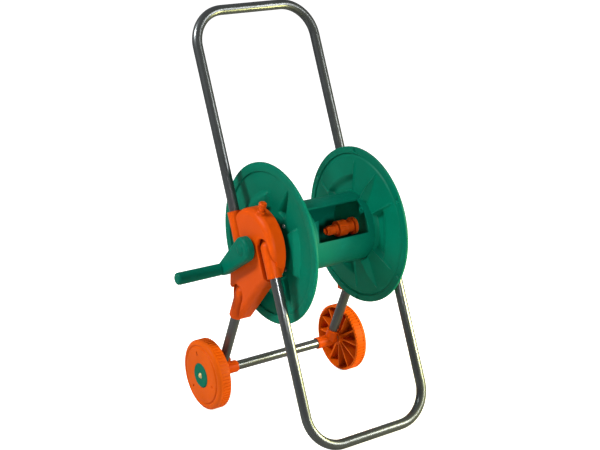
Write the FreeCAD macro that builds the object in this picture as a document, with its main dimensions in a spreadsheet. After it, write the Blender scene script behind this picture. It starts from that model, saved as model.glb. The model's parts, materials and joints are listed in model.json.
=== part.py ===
import FreeCAD, Part
import Sketcher
import math
import os
import re
from types import SimpleNamespace

# Garden hose reel cart, millimetres.
# Machine frame: X along the reel axis with the crank at -X, -Y towards the foot bar, +Z up.
# The model's origin is on the ground under the middle of the whole cart's box.

Vec = FreeCAD.Vector
doc = FreeCAD.newDocument("HoseReelCart")

# ---------------------------------------------------------------- driving sizes

SIZES = {
    # steel tubes
    "tube_dia": 19.0,           # outside diameter of every frame tube
    "tube_wall": 1.2,
    "track_half": 131.0,        # middle plane to the side tubes
    "handle_height": 755.0,     # ground to the middle of the handle bar
    "frame_lean": 19.7,         # degrees that handle and foot tubes lean from upright
    "tube_offset": 43.5,        # square distance from the reel axis to each U tube's plane
    "bend_rad": 65.0,           # corner bends of both U tubes, on the centre line
    "socket_clear": 0.1,          # between a tube and its moulded socket, on the radius
    # reel axis, measured from the axle and the ground
    "reel_fore": 141.2,
    "reel_height": 351.2,
    # reel
    "flange_rad": 150.0,
    "rim_band": 13.0,           # radial width of the flange's flat rim
    "rim_proud": 11.4,          # web's inner face at the core out to the rim's outer face
    "rim_thick": 5.6,
    "web_gap": 22.0,            # bracket cover in to the web's inner face at the core
    "web_thick": 2.4,
    "rim_step": 1.7,            # rim's inner face proud of the web's
    "petal_count": 6,
    "petal_depth": 1.6,
    "petal_half": 22.0,         # half of a petal's width beside the core
    "core_rad": 65.0,
    "core_wall": 3.0,
    "window_left_rest": 56.0,   # wall left between the window and each web
    "window_right_rest": 13.0,
    "window_low": 2.0,          # degrees above the front
    "window_high": 64.0,
    "panel_fore": 15.0,         # reel axis forward to the core's inner panel
    "panel_right": 0.0,         # middle plane to the panel's right edge
    "panel_top": 28.0,          # reel axis up to the panel's top edge
    "flange_screw_inset": 8.0,  # core's outside to the ring of flange screws
    "journal_rad": 16.0,
    "journal_left_proud": 4.0,  # past the bracket's outer face
    "journal_right_proud": 3.5, # past the bearing boss
    "water_rad": 5.0,           # waterway
    "run_clear": 0.08,          # running clearance on the radius
    "side_clear": 0.3,          # free play between pieces that turn past each other
    "fixed_clear": 0.05,        # clearance on the radius of fixed pins and screws
    # drum fitting, from the right hub inwards
    "fit_flange_rad": 16.5,
    "fit_flange_thick": 6.0,
    "fit_neck_rad": 9.0,
    "fit_nut_rad": 15.0,
    "fit_nut_left_reach": 41.0, # all measured in from the right web
    "fit_nut_right_reach": 21.0,
    "fit_tip_reach": 65.0,
    "fit_tail_rad": 10.0,
    "fit_tail_len": 13.0,
    # side brackets
    "dome_rad": 72.0,
    "shell_rest": 1.4,          # tube sockets to the bracket's open side
    "socket_proud": 1.6,        # tube sockets past the bracket's outer face
    "bracket_wall": 3.0,
    "shoulder_rad": 12.0,
    "socket_wall": 4.0,
    "groove_wide": 5.5,
    "groove_deep": 13.0,
    "cover_thick": 3.0,
    "cover_boss_rad": 21.0,
    "cover_boss_len": 12.0,
    "dome_low": 220.0,          # degrees where the dome's rim ends over the foot socket
    "skirt_drop": 152.0,        # reel axis down to the bracket's bottom edge
    "skirt_front": 53.0,        # reel axis back to the bottom edge's front corner
    "skirt_rear": 86.0,
    # places along the tubes, measured from the point nearest to the reel axis
    "handle_mouth": 72.0,
    "handle_end": -14.0,
    "foot_mouth": -62.0,
    "foot_end": 2.0,
    "leg_mouth": 168.0,         # distance from the reel axis
    "leg_end": 102.0,
    "handle_screw": 12.0,
    "foot_screw": -30.0,
    "leg_screw": 130.0,
    "screw_rad": 2.0,
    "screw_head_rad": 4.0,
    "screw_head_len": 2.4,
    "screw_len": 14.0,
    "tube_screw_len": 12.0,
    # crank
    "crank_throw": 90.0,
    "crank_angle": -36.6,       # degrees from the rear, upwards
    "crank_hub_rad": 23.0,
    "crank_tip_rad": 12.5,
    "crank_thick": 16.0,
    "crank_round": 6.0,
    "stub_side": 18.0,          # square drive stub
    "stub_len": 24.0,
    "crank_screw_rad": 3.0,
    "crank_screw_len": 46.0,
    "crank_pit": 4.0,           # depth of the screw's recess
    "grip_rad": 11.6,
    "grip_len": 92.0,
    "grip_pin_rad": 5.0,
    "grip_pin_reach": 73.6,     # length of the pin inside the grip
    "grip_pin_seat": 3.0,       # arm left behind the pin's end
    # wheels and axle
    "wheel_rad": 69.0,
    "wheel_proud": 32.8,        # joint's outer end to the wheel's outer face
    "wheel_wide": 28.0,
    "wheel_rim": 4.5,
    "wheel_web": 2.5,
    "wheel_ribs": 8,
    "wheel_crease_inset": 13.0, # tread in to the step in the outer face
    "wheel_slot_in": 39.0,      # slots in the outer face, from radius to radius
    "wheel_slot_out": 47.0,
    "wheel_slot_half": 1.6,
    "wheel_rib_thick": 2.4,
    "wheel_hub_rad": 14.0,
    "wheel_cap_rad": 24.0,
    "wheel_cap_proud": 1.6,
    "wheel_cap_thick": 3.2,
    "rod_rad": 4.0,
    "rod_proud": 2.0,           # past the wheel's outer face
    "washer_rad": 9.0,
    "washer_thick": 1.5,
    "nut_rad": 5.5,
    "nut_cover": 1.8,
    "joint_reach": 35.0,        # side tubes' plane in to the axle socket's mouth
    "joint_web": 13.0,          # side tubes' plane in to the axle tube's seat
    "joint_wall": 2.4,
    "joint_stub": 13.2,         # side tubes' plane out to the joint's outer end
    "joint_nose_rad": 9.0,
    "joint_leg_mouth": 31.0,    # axle to the leg socket's mouth, along the leg
    "joint_leg_seat": 12.0,
    "joint_lip": 1.2,
    # parking spigot on the left bracket
    "peg_lean": 20.0,           # degrees forward of upright
    "peg_rise": 1.0,            # seat above the dome
    "peg_root_rad": 5.0,
    "peg_collar_rad": 7.8,
    "peg_collar_len": 5.0,
    "peg_neck_rad": 4.6,
    "peg_neck_len": 8.0,
    "peg_head_rad": 7.2,
    "peg_head_len": 8.0,
    "peg_root_len": 11.0,
    # fixed water inlet on the right
    "inlet_body_rad": 12.0,
    "inlet_flange_rad": 18.0,
    "inlet_flange_thick": 3.0,
    "inlet_neck_rad": 6.8,
    "inlet_head_rad": 8.2,
    "inlet_reach": 29.0,        # bracket's outer face to the inlet's tip
    "inlet_spigot_rad": 8.0,
    "inlet_nut_rad": 17.0,
    "inlet_nut_thick": 4.0,
    "seal_wire": 1.2,           # radius of the O-rings' section
}

# Sizes that follow from others; those along X are measured from the middle plane.
PLACES = {
    "back_half": "(track_half - tube_dia / 2 - socket_clear - socket_wall - shell_rest)",
    "face_half": "(track_half + tube_dia / 2 + socket_clear + socket_wall - socket_proud)",
    "flange_screw_ring": "(core_rad - flange_screw_inset)",
    "wheel_crease": "(wheel_rad - wheel_crease_inset)",
    "joint_rad": "(tube_dia / 2 + socket_clear + joint_wall)",
    "web_half": "(back_half - cover_thick - web_gap)",
    "rim_half": "(web_half + rim_proud)",
    "window_left": "(window_left_rest - web_half)",
    "window_right": "(web_half - window_right_rest)",
    "journal_left_end": "(face_half + journal_left_proud)",
    "journal_right_end": "(back_half + cover_boss_len + journal_right_proud)",
    "fit_nut_left": "(web_half - fit_nut_left_reach)",
    "fit_nut_right": "(web_half - fit_nut_right_reach)",
    "fit_tip": "(web_half - fit_tip_reach)",
    "joint_mouth": "(track_half - joint_reach)",
    "joint_seat": "(track_half - joint_web)",
    "joint_out": "(track_half + joint_stub)",
    "wheel_out": "(joint_out + wheel_proud)",
    "rod_half": "(wheel_out + rod_proud)",
    "inlet_tip": "(face_half + inlet_reach)",
}

sheet = doc.addObject("Spreadsheet::Sheet", "Sheet")
for row, (alias, value) in enumerate(SIZES.items(), start=1):
    sheet.set(f"A{row}", alias)
    sheet.set(f"B{row}", str(value))
    sheet.setAlias(f"B{row}", alias)
doc.recompute()

# ---------------------------------------------------------------- formulas worked out from the sizes

# Handle bar and foot bar, as distances along their tubes from the point nearest to the reel axis.
HANDLE_RUN = "((handle_height - reel_height + tube_offset * sin(frame_lean)) / cos(frame_lean))"
FOOT_RUN = "((reel_height + tube_offset * sin(frame_lean) - tube_dia / 2) / cos(frame_lean))"
FOOT_REACH = f"(reel_fore + tube_offset * cos(frame_lean) + {FOOT_RUN} * sin(frame_lean) + tube_dia / 2)"
LEG_LEAN = "atan(reel_fore / (reel_height - wheel_rad))"
LEG_SPAN = "sqrt(reel_fore ^ 2 + (reel_height - wheel_rad) ^ 2)"
SOCKET_RAD = "(tube_dia / 2 + socket_clear + socket_wall)"
TUBE_BORE = "(tube_dia / 2 + socket_clear)"
JOURNAL_BORE = "(journal_rad + run_clear)"
CRANK_IN = "(journal_left_end + side_clear)"
CRANK_OUT = f"({CRANK_IN} + crank_thick)"
GRIP_IN = f"({CRANK_OUT} + side_clear)"
GRIP_OUT = f"({GRIP_IN} + grip_len)"
WHEEL_IN = "(wheel_out - wheel_wide)"
HUB_IN = "(joint_out + washer_thick + 2 * side_clear)"
HUB_OUT = "(wheel_out - wheel_cap_thick + wheel_cap_proud - side_clear)"
NUT_OUT = "(rod_half + nut_cover)"
# The ground point under the middle of the cart's box, from the middle plane and the axle.
MID_X = f"(({GRIP_OUT} - {NUT_OUT}) / 2)"
MID_Y = f"(({FOOT_REACH} - wheel_rad) / 2)"
REEL_AT = ("0", "-reel_fore", "reel_height")
AXLE_AT = ("0", "0", "wheel_rad")


def formula(text):
    """Write places out as sizes, and point each size's name at its cell."""
    text = str(text)
    while any(name in PLACES for name in re.findall(r"[a-z_]+", text)):
        text = re.sub(r"[a-z_]+", lambda m: PLACES.get(m[0], m[0]), text)
    return re.sub(r"[a-z_]+", lambda m: f"Sheet.{m[0]}" if m[0] in SIZES else m[0], text)


def number(text):
    return float(sheet.evalExpression(formula(text)))


V = SimpleNamespace(**{name: number(name) for name in [*SIZES, *PLACES]})

# ---------------------------------------------------------------- building helpers

nodes = []


def node(obj, label):
    """Name a finished sub-part and list it for export."""
    obj.Label = label
    nodes.append(obj)
    return obj


def locate(obj, at=("0", "0", "0"), turn=None, axis=(1, 0, 0)):
    """Bind an object's place in the machine frame, with an optional turn in degrees."""
    obj.Placement = FreeCAD.Placement(Vec(), FreeCAD.Rotation(Vec(*axis), 1.0))
    obj.setExpression("Placement.Base.x", formula(f"{MID_X} + {at[0]}"))
    obj.setExpression("Placement.Base.y", formula(f"{MID_Y} + {at[1]}"))
    obj.setExpression("Placement.Base.z", formula(at[2]))
    obj.setExpression("Placement.Rotation.Angle", formula(turn or "0"))


def new_body(name, at=("0", "0", "0"), turn=None):
    body = doc.addObject("PartDesign::Body", name)
    locate(body, at, turn)
    return body


def mirrored(source, name):
    """The same piece on the other side of the cart's middle plane."""
    other = doc.addObject("Part::Mirroring", name)
    other.Source = source
    other.Normal = Vec(1, 0, 0)
    other.setExpression("Base.x", formula(MID_X))
    return other


def attach(body, sketch, plane, offset):
    origin = [o for o in body.Origin.OriginFeatures if o.Role == plane][0]
    sketch.AttachmentSupport = [(origin, "")]
    sketch.MapMode = "FlatFace"
    sketch.setExpression(".AttachmentOffset.Base.z", formula(offset))


def pin_point(sketch, geometry, corner, x, y):
    """Hold one point of a sketch at two formulas."""
    for kind, text in (("DistanceX", x), ("DistanceY", y)):
        at = sketch.addConstraint(Sketcher.Constraint(kind, -1, 1, geometry, corner, number(text)))
        sketch.setExpression(f"Constraints[{at}]", formula(text))


def arc_between(start, end, radius, side):
    """A short arc from start to end; side 1 puts its centre on the left of the chord."""
    chord = end - start
    half = chord.Length / 2
    rise = math.sqrt(max(radius * radius - half * half, 0.0))
    left = Vec(-chord.y, chord.x, 0).normalize()
    centre = start + chord * 0.5 + left * rise * side
    first = math.atan2(start.y - centre.y, start.x - centre.x)
    last = math.atan2(end.y - centre.y, end.x - centre.x)
    if side < 0:
        first, last = last, first
    return Part.ArcOfCircle(Part.Circle(centre, Vec(0, 0, 1), radius), first, last)


def add_loop(sketch, corners):
    """A closed loop. A corner is (x, y), or (x, y, radius, side) where an arc leaves it."""
    first = sketch.GeometryCount
    spots = [Vec(number(c[0]), number(c[1]), 0) for c in corners]
    count = len(corners)
    ends = []
    for i, corner in enumerate(corners):
        start, end = spots[i], spots[(i + 1) % count]
        if len(corner) == 2:
            sketch.addGeometry(Part.LineSegment(start, end), False)
            ends.append((1, 2))
        else:
            sketch.addGeometry(arc_between(start, end, number(corner[2]), corner[3]), False)
            ends.append((1, 2) if corner[3] > 0 else (2, 1))
    for i in range(count):
        follower = (i + 1) % count
        sketch.addConstraint(Sketcher.Constraint("Coincident", first + i, ends[i][1],
                                                 first + follower, ends[follower][0]))
    for i, corner in enumerate(corners):
        pin_point(sketch, first + i, ends[i][0], corner[0], corner[1])
        if len(corner) == 4:
            at = sketch.addConstraint(Sketcher.Constraint("Radius", first + i, number(corner[2])))
            sketch.setExpression(f"Constraints[{at}]", formula(corner[2]))


def outline(body, name, plane, corners, offset="0"):
    """A sketch with one closed loop."""
    sketch = body.newObject("Sketcher::SketchObject", name)
    attach(body, sketch, plane, offset)
    add_loop(sketch, corners)
    return sketch


def circle(body, name, plane, radius, x="0", y="0", offset="0", inner=None):
    sketch = body.newObject("Sketcher::SketchObject", name)
    attach(body, sketch, plane, offset)
    for index, size in enumerate([radius] + ([inner] if inner else [])):
        sketch.addGeometry(Part.Circle(Vec(number(x), number(y), 0), Vec(0, 0, 1), number(size)), False)
        pin_point(sketch, index, 3, x, y)
        at = sketch.addConstraint(Sketcher.Constraint("Radius", index, number(size)))
        sketch.setExpression(f"Constraints[{at}]", formula(size))
    return sketch


def feature(body, kind, name, sketch, **sizes):
    made = body.newObject(f"PartDesign::{kind}", name)
    made.Profile = sketch
    for prop, text in sizes.items():
        made.setExpression(prop, formula(text))
    return made


def pad(body, sketch, length, name="Pad"):
    return feature(body, "Pad", name, sketch, Length=length)


def pocket(body, sketch, length, name="Pocket"):
    """Cut towards the sketch plane's positive side."""
    made = feature(body, "Pocket", name, sketch, Length=length)
    made.Reversed = True
    return made


def revolve(body, sketch, axis="H_Axis", name="Revolution"):
    made = body.newObject("PartDesign::Revolution", name)
    made.Profile = sketch
    made.ReferenceAxis = (sketch, [axis])
    made.Angle = 360.0
    return made


def groove(body, sketch, axis="H_Axis", name="Groove"):
    made = body.newObject("PartDesign::Groove", name)
    made.Profile = sketch
    made.ReferenceAxis = (sketch, [axis])
    made.Angle = 360.0
    return made


def polar(body, originals, count, axis="X_Axis", name="PolarPattern"):
    """Repeat features about one of the body's own axes."""
    made = body.newObject("PartDesign::PolarPattern", name)
    made.Originals = originals
    line = [o for o in body.Origin.OriginFeatures if o.Role == axis][0]
    made.Axis = (line, [""])
    made.Angle = 360.0
    made.setExpression("Occurrences", formula(count))
    body.Tip = made
    return made


def solid_in_body(body, kind, name, at, turn=None, axis=(1, 0, 0), **sizes):
    """An additive or subtractive primitive inside a body, placed by formulas."""
    made = body.newObject(f"PartDesign::{kind}", name)
    for prop, text in sizes.items():
        made.setExpression(prop, formula(text))
    made.Placement = FreeCAD.Placement(Vec(), FreeCAD.Rotation(Vec(*axis), 1.0))
    for letter, text in zip("xyz", at):
        made.setExpression(f"Placement.Base.{letter}", formula(text))
    made.setExpression("Placement.Rotation.Angle", formula(turn or "0"))
    return made


def dress(body, kind, picked, size, name):
    """Fillet or chamfer the edges of the tip that a test picks."""
    doc.recompute()
    base = body.Tip
    edges = [f"Edge{i}" for i, e in enumerate(base.Shape.Edges, start=1) if picked(e)]
    made = body.newObject(f"PartDesign::{kind}", name)
    made.Base = (base, edges)
    prop = "Radius" if kind == "Fillet" else "Size"
    made.setExpression(prop, formula(size))
    return made


def edges_at(letter, value):
    """A test for edges that lie in one plane across X, Y or Z of the body's own frame."""
    def test(edge):
        box = edge.BoundBox
        low, high = getattr(box, f"{letter}Min"), getattr(box, f"{letter}Max")
        return abs(low - value) < 1e-4 and abs(high - value) < 1e-4
    return test


def along_tube(distance, sign):
    """(y, z) from the reel axis of a point on the handle tube (sign 1) or foot tube (sign -1)."""
    y = f"({sign} * tube_offset * cos(frame_lean) + {distance} * sin(frame_lean))"
    z = f"({-sign} * tube_offset * sin(frame_lean) + {distance} * cos(frame_lean))"
    return y, z


def along_leg(distance):
    """(y, z) from the reel axis of a point on a leg tube."""
    return f"({distance} * sin({LEG_LEAN}))", f"(-{distance} * cos({LEG_LEAN}))"


# ---------------------------------------------------------------- steel tubes

def u_tube(name, sign, run, end):
    """A U-bent tube. Its own frame stands in the loop's plane, with the bar at +Z or -Z."""
    y, z = along_tube("0", sign)
    body = new_body(name, ("0", f"-reel_fore + {y}", f"reel_height + {z}"), "-frame_lean")
    up = 1 if sign > 0 else -1
    far, near, corner = f"{up} * {run}", f"{end}", f"{up} * ({run} - bend_rad)"
    path = body.newObject("Sketcher::SketchObject", name + "_path")
    attach(body, path, "XZ_Plane", "0")
    spots = [("-track_half", near), ("-track_half", corner), ("-track_half + bend_rad", far),
             ("track_half - bend_rad", far), ("track_half", corner), ("track_half", near)]
    points = [Vec(number(x), number(y), 0) for x, y in spots]
    radius = number("bend_rad")
    path.addGeometry(Part.LineSegment(points[0], points[1]), False)
    path.addGeometry(arc_between(points[1], points[2], radius, -up), False)
    path.addGeometry(Part.LineSegment(points[2], points[3]), False)
    path.addGeometry(arc_between(points[3], points[4], radius, -up), False)
    path.addGeometry(Part.LineSegment(points[4], points[5]), False)
    first, second = (2, 1) if up > 0 else (1, 2)
    for a, a_end, b, b_end in ((0, 2, 1, first), (1, second, 2, 1), (2, 2, 3, first), (3, second, 4, 1)):
        path.addConstraint(Sketcher.Constraint("Coincident", a, a_end, b, b_end))
    for geometry, corner_no, spot in ((0, 1, 0), (0, 2, 1), (2, 1, 2), (2, 2, 3), (4, 1, 4), (4, 2, 5)):
        pin_point(path, geometry, corner_no, *spots[spot])
    for arc in (1, 3):
        at = path.addConstraint(Sketcher.Constraint("Radius", arc, radius))
        path.setExpression(f"Constraints[{at}]", formula("bend_rad"))
    ring = circle(body, name + "_section", "XY_Plane", "tube_dia / 2", "-track_half", "0", near,
                  inner="tube_dia / 2 - tube_wall")
    pipe = body.newObject("PartDesign::AdditivePipe", name + "_pipe")
    pipe.Profile = ring
    pipe.Spine = path
    return body


def tube_screw_holes(body, at, name):
    """Screw holes through the inner walls of both side tubes."""
    for side, start in (("left", "-track_half"), ("right", "track_half - tube_dia / 2 - 1")):
        solid_in_body(body, "SubtractiveCylinder", f"{name}_{side}", (start, at[0], at[1]), "90",
                      axis=(0, 1, 0), Radius="screw_rad + fixed_clear", Height="tube_dia / 2 + 1")


handle_tube = u_tube("handle_tube", 1, HANDLE_RUN, "handle_end")
tube_screw_holes(handle_tube, ("0", "handle_screw"), "handle_hole")
node(handle_tube, "handle_tube")
foot_tube = u_tube("foot_tube", -1, FOOT_RUN, "foot_end")
tube_screw_holes(foot_tube, ("0", "foot_screw"), "foot_hole")
node(foot_tube, "foot_tube")


def leg_tube():
    """Straight tube from the axle joint up into the bracket, its own Z along the tube."""
    body = new_body("leg_tube_right", ("track_half", "0", "wheel_rad"), LEG_LEAN)
    ring = circle(body, "leg_section", "XY_Plane", "tube_dia / 2", offset="joint_leg_seat + side_clear",
                  inner="tube_dia / 2 - tube_wall")
    pad(body, ring, f"{LEG_SPAN} - leg_end - joint_leg_seat - side_clear")
    solid_in_body(body, "SubtractiveCylinder", "leg_hole", ("-tube_dia / 2 - 1", "0", f"{LEG_SPAN} - leg_screw"),
                  "90", axis=(0, 1, 0), Radius="screw_rad + fixed_clear", Height="tube_dia / 2 + 1")
    return body


leg_right = node(leg_tube(), "leg_tube_right")
node(mirrored(leg_right, "leg_mirror"), "leg_tube_left")

axle_tube = new_body("axle_tube", AXLE_AT)
axle_ring = circle(axle_tube, "axle_section", "YZ_Plane", "tube_dia / 2", offset="-joint_seat + side_clear",
                   inner="tube_dia / 2 - tube_wall")
pad(axle_tube, axle_ring, "2 * (joint_seat - side_clear)")
node(axle_tube, "axle_tube")

axle_rod = new_body("axle_rod", AXLE_AT)
pad(axle_rod, circle(axle_rod, "rod_section", "YZ_Plane", "rod_rad", offset="-rod_half"), "2 * rod_half")
node(axle_rod, "axle_rod")

# ---------------------------------------------------------------- axle joints

def axle_joint():
    body = new_body("axle_joint_right", AXLE_AT)
    barrel = outline(body, "joint_profile", "XZ_Plane", [
        ("joint_mouth", "0"), ("joint_out", "0"), ("joint_out", "joint_nose_rad"),
        ("track_half + joint_nose_rad / 2", "joint_nose_rad + 0.8"), ("track_half", "joint_rad"),
        ("joint_mouth + joint_lip", "joint_rad"), ("joint_mouth", "joint_rad - joint_lip")])
    revolve(body, barrel)
    solid_in_body(body, "AdditiveCylinder", "leg_socket", ("track_half", "0", "0"), LEG_LEAN,
                  Radius="joint_rad", Height="joint_leg_mouth")
    solid_in_body(body, "AdditiveCone", "leg_flare",
                  ("track_half", "-(joint_leg_mouth - 4 * joint_lip) * sin(%s)" % LEG_LEAN,
                   "(joint_leg_mouth - 4 * joint_lip) * cos(%s)" % LEG_LEAN), LEG_LEAN,
                  Radius1="joint_rad", Radius2="joint_rad + joint_lip", Height="4 * joint_lip")
    solid_in_body(body, "SubtractiveCylinder", "leg_bore",
                  ("track_half", "-joint_leg_seat * sin(%s)" % LEG_LEAN, "joint_leg_seat * cos(%s)" % LEG_LEAN),
                  LEG_LEAN, Radius=TUBE_BORE, Height="joint_leg_mouth")
    bores = outline(body, "joint_bores", "XZ_Plane", [
        ("joint_mouth - 1", "0"), ("joint_out + 1", "0"), ("joint_out + 1", "rod_rad + fixed_clear"),
        ("joint_seat", "rod_rad + fixed_clear"), ("joint_seat", TUBE_BORE),
        ("joint_mouth + joint_lip", TUBE_BORE), ("joint_mouth", f"{TUBE_BORE} + joint_lip"),
        ("joint_mouth - 1", f"{TUBE_BORE} + joint_lip")])
    groove(body, bores)
    return body


joint_right = node(axle_joint(), "axle_joint_right")
node(mirrored(joint_right, "joint_mirror"), "axle_joint_left")

# ---------------------------------------------------------------- side brackets

def bracket_outline(inset):
    """The bracket's side view about the reel axis, shrunk by an inset."""
    radius = f"dome_rad - {inset}"

    def dome(angle):
        return (f"({radius}) * cos({angle})", f"({radius}) * sin({angle})")
    start, top, end = dome("0"), dome("90"), dome("dome_low")
    return [
        (*start, radius, 1), (*top, radius, 1), end,
        (f"-dome_rad / 3 + {inset} * 0.7", f"-dome_rad + {inset} * 0.8"),
        (f"skirt_front + {inset} * 0.6", f"-skirt_drop + {inset}"),
        (f"skirt_rear - {inset}", f"-skirt_drop + {inset}"),
        (f"skirt_rear - {inset}", f"-skirt_drop * 0.85"),
    ]


COVER_SCREWS = [("0", "dome_rad - 20"), ("-dome_rad / 3", "-dome_rad * 0.6"),
                ("skirt_rear - 26", "-skirt_drop * 0.42"), ("skirt_front - 18", "-skirt_drop * 0.77")]
# For each tube: its socket's mouth, the middle of the socket's round head, the turn of the socket's axis,
# the length between the two, and whether the groove beside it runs out through the rear edge.
SOCKETS = {
    "handle": (along_tube("handle_mouth", 1), along_tube(f"(handle_end - socket_wall + {SOCKET_RAD})", 1),
               "-frame_lean", f"(handle_mouth - handle_end + socket_wall - {SOCKET_RAD})", True),
    "foot": (along_tube("foot_mouth", -1), along_tube(f"(foot_end + socket_wall - {SOCKET_RAD})", -1),
             "180 - frame_lean", f"(foot_end - foot_mouth + socket_wall - {SOCKET_RAD})", False),
    "leg": (along_leg("leg_mouth"), along_leg(f"(leg_end - socket_wall + {SOCKET_RAD})"),
            f"180 deg + {LEG_LEAN}", f"(leg_mouth - leg_end + socket_wall - {SOCKET_RAD})", True),
}


SOCKET_BOTTOMS = {"handle": along_tube("handle_end", 1), "foot": along_tube("foot_end", -1),
                  "leg": along_leg("leg_end")}
TUBE_SCREWS = [along_tube("handle_screw", 1), along_tube("foot_screw", -1), along_leg("leg_screw")]


def peg_point(radius):
    """(y, z) from the reel axis of a point on the parking spigot's axis."""
    return f"(-1 * ({radius}) * sin(peg_lean))", f"(({radius}) * cos(peg_lean))"


def across(distance, turn):
    """(y, z) step across a socket's axis, towards its own +Y."""
    return f"{distance} * cos({turn})", f"{distance} * sin({turn})"


def bracket(name, hub_bore, with_peg):
    """Shell with a rounded shoulder, open on its inner side, with three tube sockets in grooves."""
    body = new_body(name, REEL_AT)
    depth = "(face_half - back_half)"
    inside = f"({depth} - bracket_wall - shoulder_rad * 0.3)"
    floor = "(face_half - groove_deep)"
    half = f"({SOCKET_RAD} + groove_wide)"
    pad(body, outline(body, name + "_side", "YZ_Plane", bracket_outline("0"), "back_half"), depth, "Shell")
    dress(body, "Fillet", edges_at("X", number("face_half")), "shoulder_rad", "Shoulder")
    pocket(body, outline(body, name + "_hollow", "YZ_Plane", bracket_outline("bracket_wall"),
                         "back_half - 1"), f"{inside} + 1", "Hollow")
    for key, (mouth, head, turn, length, rear_open) in SOCKETS.items():
        step = across(f"-({half} + bracket_wall)", turn)
        solid_in_body(body, "AdditiveBox", key + "_block",
                      ("back_half + 2", f"{head[0]} + {step[0]}", f"{head[1]} + {step[1]}"), turn,
                      Length=f"{floor} - back_half - 2", Width=f"2 * ({half} + bracket_wall)", Height=f"{length} + 30")
        solid_in_body(body, "AdditiveCylinder", key + "_block_head", ("back_half + 2", head[0], head[1]),
                      "90", axis=(0, 1, 0), Radius=f"{half} + bracket_wall",
                      Height=f"{floor} - back_half - 2")
    for key, (mouth, head, turn, length, rear_open) in SOCKETS.items():
        # the socket's own +Y points to the rear on the handle and to the front on the other two
        low = f"{half} + dome_rad" if rear_open and key == "leg" else half
        high = f"{half} + dome_rad" if rear_open and key == "handle" else half
        step = across(f"-({low})", turn)
        solid_in_body(body, "SubtractiveBox", key + "_groove",
                      (floor, f"{head[0]} + {step[0]}", f"{head[1]} + {step[1]}"), turn,
                      Length="groove_deep + 5", Width=f"{low} + {high}", Height=f"{length} + 60")
        solid_in_body(body, "SubtractiveCylinder", key + "_groove_head", (floor, head[0], head[1]),
                      "90", axis=(0, 1, 0), Radius=half, Height="groove_deep + 5")
    big = "2 * skirt_drop"
    trim = outline(body, name + "_trim", "YZ_Plane", bracket_outline("0"), "back_half - 1")
    box = [(f"-({big})", f"-({big})"), (big, f"-({big})"), (big, big), (f"-({big})", big)]
    add_loop(trim, box)
    pocket(body, trim, f"{depth} + 2", "Trim")
    for y, z in COVER_SCREWS:
        solid_in_body(body, "AdditiveCylinder", "screw_boss", ("back_half", y, z), "90", axis=(0, 1, 0),
                      Radius="screw_rad + 2.5", Height=f"{inside} + 1")
    for key, (mouth, head, turn, length, rear_open) in SOCKETS.items():
        solid_in_body(body, "AdditiveSphere", key + "_dome", ("track_half", head[0], head[1]), turn,
                      Radius=SOCKET_RAD)
        solid_in_body(body, "AdditiveCylinder", key + "_socket", ("track_half", head[0], head[1]), turn,
                      Radius=SOCKET_RAD, Height=length)
    if with_peg:
        peg_y, peg_z = peg_point("dome_rad - peg_root_len - 3")
        solid_in_body(body, "AdditiveCylinder", "peg_seat", ("track_half", peg_y, peg_z), "peg_lean",
                      Radius="peg_collar_rad + 0.8", Height="peg_root_len + 3 + peg_rise")
        solid_in_body(body, "SubtractiveCylinder", "peg_hole", ("track_half", peg_y, peg_z), "peg_lean",
                      Radius="peg_root_rad + fixed_clear", Height="dome_rad")
    for y, z in COVER_SCREWS:
        solid_in_body(body, "SubtractiveCylinder", "screw_hole", ("back_half - 1", y, z), "90", axis=(0, 1, 0),
                      Radius="screw_rad + fixed_clear", Height="screw_len")
    for key, (mouth, head, turn, length, rear_open) in SOCKETS.items():
        bottom = SOCKET_BOTTOMS[key]
        solid_in_body(body, "SubtractiveCylinder", key + "_bore", ("track_half", bottom[0], bottom[1]), turn,
                      Radius=TUBE_BORE, Height=length + " + 40")
    for y, z in TUBE_SCREWS:
        solid_in_body(body, "SubtractiveCylinder", "tube_screw_hole", ("back_half - 1", y, z), "90",
                      axis=(0, 1, 0), Radius="screw_rad + fixed_clear", Height="track_half - back_half")
    solid_in_body(body, "SubtractiveCylinder", "hub_hole", ("back_half - 1", "0", "0"), "90", axis=(0, 1, 0),
                  Radius=hub_bore, Height=f"{depth} + 2")
    return body


def bracket_cover(name):
    """Inner bearing plate: closes the bracket and carries one of the reel's journals."""
    body = new_body(name, REEL_AT)
    plate = outline(body, name + "_side", "YZ_Plane", bracket_outline("0"), "back_half - cover_thick")
    pad(body, plate, "cover_thick", "Plate")
    solid_in_body(body, "AdditiveCylinder", "bearing_boss", ("back_half - cover_thick", "0", "0"), "90",
                  axis=(0, 1, 0), Radius="cover_boss_rad", Height="cover_thick + cover_boss_len")
    solid_in_body(body, "SubtractiveCylinder", "bearing", ("back_half - cover_thick - 1", "0", "0"), "90",
                  axis=(0, 1, 0), Radius=JOURNAL_BORE, Height="cover_thick + cover_boss_len + 2")
    for y, z in COVER_SCREWS + TUBE_SCREWS:
        solid_in_body(body, "SubtractiveCylinder", "cover_hole", ("back_half - cover_thick - 1", y, z), "90",
                      axis=(0, 1, 0), Radius="screw_rad + fixed_clear", Height="cover_thick + 2")
    return body


left_source = bracket("bracket_left_source", JOURNAL_BORE, True)
node(mirrored(left_source, "bracket_left"), "bracket_left")
node(bracket("bracket_right", "inlet_body_rad + fixed_clear", False), "bracket_right")
cover_right = node(bracket_cover("bracket_cover_right"), "bracket_cover_right")
node(mirrored(cover_right, "cover_mirror"), "bracket_cover_left")

# ---------------------------------------------------------------- screws, each group one node

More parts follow.
